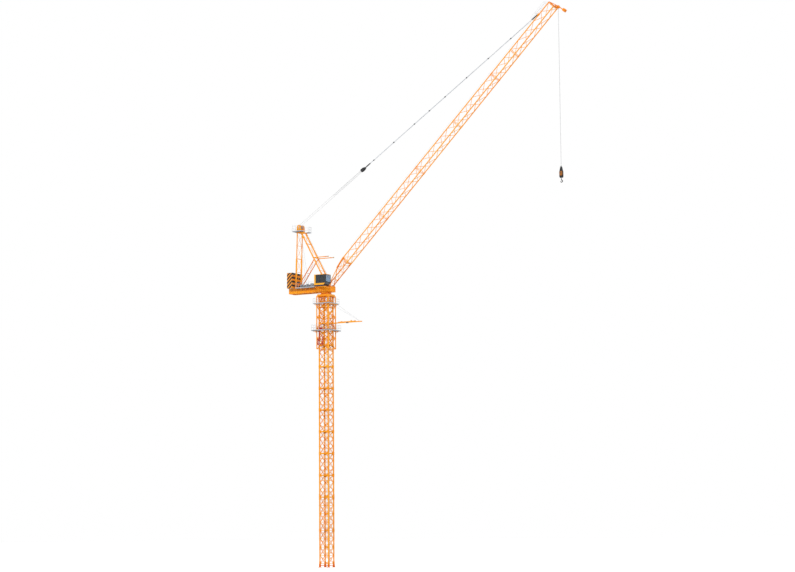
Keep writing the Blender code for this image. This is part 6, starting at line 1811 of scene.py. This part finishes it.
def luffing_falls():
    """Rope falls from the head sheaves and from the block, side by side, and the sheaves on their pin."""
    head_high, block_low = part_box("luffing_falls_head")[1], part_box("luffing_falls_block")[0]
    head_y, block_y, top = 36, 22, 33
    in_groove = [(0, 30.5), (0, 33.5), (1.9, 34.9), (3.8, 33.5), (3.8, 30.5)]
    run = np.array((math.cos(LINE_PITCH), 0, math.sin(LINE_PITCH)))
    level_reach = (head_high[0] - JOINTS["luffing_falls_pivot"][0]) * PER_METRE
    reach = level_reach / run[0] + top * math.tan(LINE_PITCH) - 3
    falls, wheels, pin, sockets = batches("luffing_falls", 4)
    for side in (-1, 1):
        rope_line(falls, (0, side * head_y, top), (reach, side * head_y, top), LUFFING_ROPE)
        falls.lathe((0, side * head_y - 1.9, 0), Y, in_groove, 40)
        sheave(wheels, (0, side * head_y, 0), Y, 34.8, 7.8, 48)
        sockets.tubes((reach - 12, side * head_y, top), (reach + 0.5, side * head_y, top), 3.1, 12)
    pin.rod((0, 0, 0), Y * 61.5, 7.8, 24)
    for side in (-1, 1):
        pin.tubes((0, side * 47.5, 0), (0, side * 51.5, 0), 11.5, 24)
    falls.piece("luffing_falls_head_ropes", ROPE, "luffing_falls_head")
    wheels.piece("head_sheaves", DEEP_ORANGE)
    pin.piece("head_sheave_pin", BRIGHT)
    sockets.piece("luffing_falls_sockets", BLACK)
    ropes, yoke = batches("pendant", 2)
    start = BLOCK_FAR - GAP
    far = (block_low[0] - JOINTS["pendant_pivot"][0]) * PER_METRE / run[0] + 2
    for side in (-1, 1):
        rope_line(ropes, (start - 2, side * block_y, 0), (far, side * block_y, 0), LUFFING_ROPE)
        yoke.tubes((start - 16, side * block_y, 0), (start - 3.5, side * block_y, 0), 3.4, 12)
    yoke.boxes((start - 2, 0, 0), (3.8, 55.8, 49.5))
    ropes.piece("luffing_falls_block_ropes", ROPE, "luffing_falls_block")
    yoke.piece("luffing_falls_yoke", BLACK, bevel=0.6)


def rope_lead():
    """Two ropes from the luffing winch's drum up to the back of the head sheaves."""
    ropes = Batch("upper_works")
    for side in (-1, 1):
        rope_line(ropes, (-397.5, side * 34.5, DECK + 45.3 + 2), (-584.5, side * 36, 1293.5), LUFFING_ROPE)
    ropes.piece("luffing_rope_lead", ROPE)


# ---------------------------------------------------------------- hoisting gear
HOOK_DROP = 2875
HOOK_BLOCK = 200


def hoist_ropes():
    """Two falls from the tip sheaves to the hook block's top, and the sheaves with their rope turns."""
    ropes, wheels, sockets = batches("hoist", 3)
    end, fall_y = -HOOK_DROP + 2.6, 6
    in_groove = [(0, 26.2), (0, 28.5), (1.9, 29.8), (3.8, 28.5), (3.8, 26.2)]
    for side in (-1, 1):
        rope_line(ropes, (0, side * fall_y, -28.5), (0, side * fall_y, end + 4), HOIST_ROPE)
        ropes.lathe((0, side * fall_y - 1.9, 0), Y, in_groove, 40)
        sheave(wheels, (0, side * 6.2, 0), Y, 29.7, 7.8, 44)
        sockets.tubes((0, side * fall_y, end), (0, side * fall_y, end + 14), 3, 12)
    wheels.rod((0, 0, 0), Y * 15.2, 6.2, 20)
    sockets.boxes((0, 0, end - 0.2), (7.8, 23.5, 3.8))
    ropes.piece("hoist_rope_falls", ROPE, "hoist_rope")
    wheels.piece("tip_sheaves", DEEP_ORANGE)
    sockets.piece("hoist_rope_sockets", BLACK)


def hook_block():
    """Block with a tapered top, orange-brown side weights, visible sheave and a swivel head."""
    plates, dark, wheels, bolts = batches("hoist", 4)
    top, low = -HOOK_DROP, -HOOK_DROP - HOOK_BLOCK
    knee = top - HOOK_BLOCK / 2
    axle = knee - 12
    upper = ((-11.8, top - 0.5), (-34.5, knee), (-34.5, axle), (34.5, axle), (34.5, knee), (11.8, top - 0.5))
    lower = ((-33.5, knee - 10), (-33.5, low + 16), (-12.5, low + 0.5), (12.5, low + 0.5), (33.5, low + 16),
        (33.5, knee - 10))
    weight = ((-27, knee + 4), (-27, knee - 50), (-21.5, knee - 62), (21.5, knee - 62), (27, knee - 50),
        (27, knee + 4), (18.5, knee + 16), (-18.5, knee + 16))
    for side in (-1, 1):
        dark.plate(upper, side * 12.5, 4.2)
        dark.plate(lower, side * 12.5, 4.2)
        plates.plate(weight, side * 19.8, 9.8)
        for x in (-18.5, 18.5):
            for z in (knee + 3, knee - 49):
                bolts.tubes((x, side * 23.5, z), (x, side * 24.9, z), 3.4, 6)
        bolts.tubes((0, side * 22.5, axle), (0, side * 24.9, axle), 9, 24)
    dark.boxes((0, 0, low + 9.5), (50, 30, 17.5))
    dark.boxes((0, 0, top - 6.5), (23.5, 22, 12))
    for y in (5, -5):
        sheave(wheels, (0, y, axle), Y, 31.5, 7.5, 44)
    wheels.rod((0, 0, axle), Y * 10.5, 7.2, 20)
    plates.piece("hook_block_weights", PLATE_BROWN, "hook_block", bevel=0.8)
    dark.piece("hook_block_frame", BLACK, bevel=0.5)
    wheels.piece("hook_block_sheaves", DARK_STEEL)
    bolts.piece("hook_block_bolts", DARK_STEEL)


def hook():
    """Forged hook: an oval section that swells at the saddle and thins to the tip, on a threaded shank.

    path = a three-quarter circle; half width and half depth = smooth swell along it; end closed by a cap.
    """
    body, nut = batches("hook", 2)
    top = -HOOK_DROP - HOOK_BLOCK - 0.6
    radius = 19.4
    centre = np.array((0, 0, top - 58))
    share = np.linspace(0, 1, 40)
    turn = math.radians(96) - math.radians(272) * share
    arc = centre + radius * np.stack([np.cos(turn), np.zeros(40), np.sin(turn)], 1)
    neck = np.stack([np.zeros(8), np.zeros(8), np.linspace(top - 4, centre[2] + radius + 4, 8)], 1)
    path = np.concatenate([neck, arc])
    run = np.gradient(path, axis=0)
    run /= np.linalg.norm(run, axis=1, keepdims=True)
    side = np.broadcast_to(Y, run.shape)
    rise = np.cross(run, side)
    rise /= np.linalg.norm(rise, axis=1, keepdims=True)
    swell = np.concatenate([np.full(8, 6.2), 6.2 + 2.2 * np.sin(math.pi * share ** 0.9) - 3.8 * share ** 5])
    depth = np.concatenate([np.full(8, 6.2), 6.2 + 1.6 * np.sin(math.pi * share) - 4 * share ** 5])
    loop = around(20)
    rings = (path[:, None] + depth[:, None, None] * np.cos(loop)[None, :, None] * side[:, None]
        + swell[:, None, None] * np.sin(loop)[None, :, None] * rise[:, None])
    body.skin(rings)
    nut.lathe((0, 0, top - 15.5), Z, [(0, 4.5), (0, 6.6), (1.5, 6.9), (14.5, 6.9), (15.2, 6), (15.2, 2)], 6)
    nut.rod((-1, 0, centre[2] + radius - 1), Y * 5.2, 1.6)
    nut.sweep(centre + (-2.8, 0, radius - 3.5), centre + (-19.2, 0, 0.6), rectangle(6, 1.2))
    body.piece("hook_forging", BLACK, "hook", smooth=60)
    nut.piece("hook_nut_and_latch", BRIGHT)


jib_root()
jib_stretch("jib_lower", ROOT, SECTIONS[:2])
jib_stretch("jib_upper", ROOT + 2 * SECTION_LENGTH, SECTIONS[2:])
jib_head()
pendants()
luffing_block()
luffing_falls()
rope_lead()
hoist_ropes()
hook_block()
hook()

# ---------------------------------------------------------------- finishes of the pieces
COATS = {"crane_orange": (ORANGE, BRIGHT_ORANGE, DEEP_ORANGE, FOOT_ORANGE, DECK_BROWN),
    "hydraulic_red": (RED,), "cab_paint": (CAB_YELLOW, NAVY), "hook_plate": (PLATE_BROWN,),
    "galvanised_steel": (ZINC, PALE_ZINC, BRIGHT), "pendant_steel": (ROD_ZINC,), "winch_grey": (WINCH_GREY,),
    "cabinet_grey": (BOX_GREY, BUFFER_PAD), "block_black": (BLACK, DARK_STEEL),
    "counterweight_paint": (SLAB,), "wire_rope": (ROPE,), "cab_glass": (SIDE_GLASS, FRONT_GLASS)}
SLOTS = {coat: slot for slot, coats in COATS.items() for coat in coats}
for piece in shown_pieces():
    "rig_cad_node" not in piece and piece.data.materials and piece.data.materials[0] in SLOTS
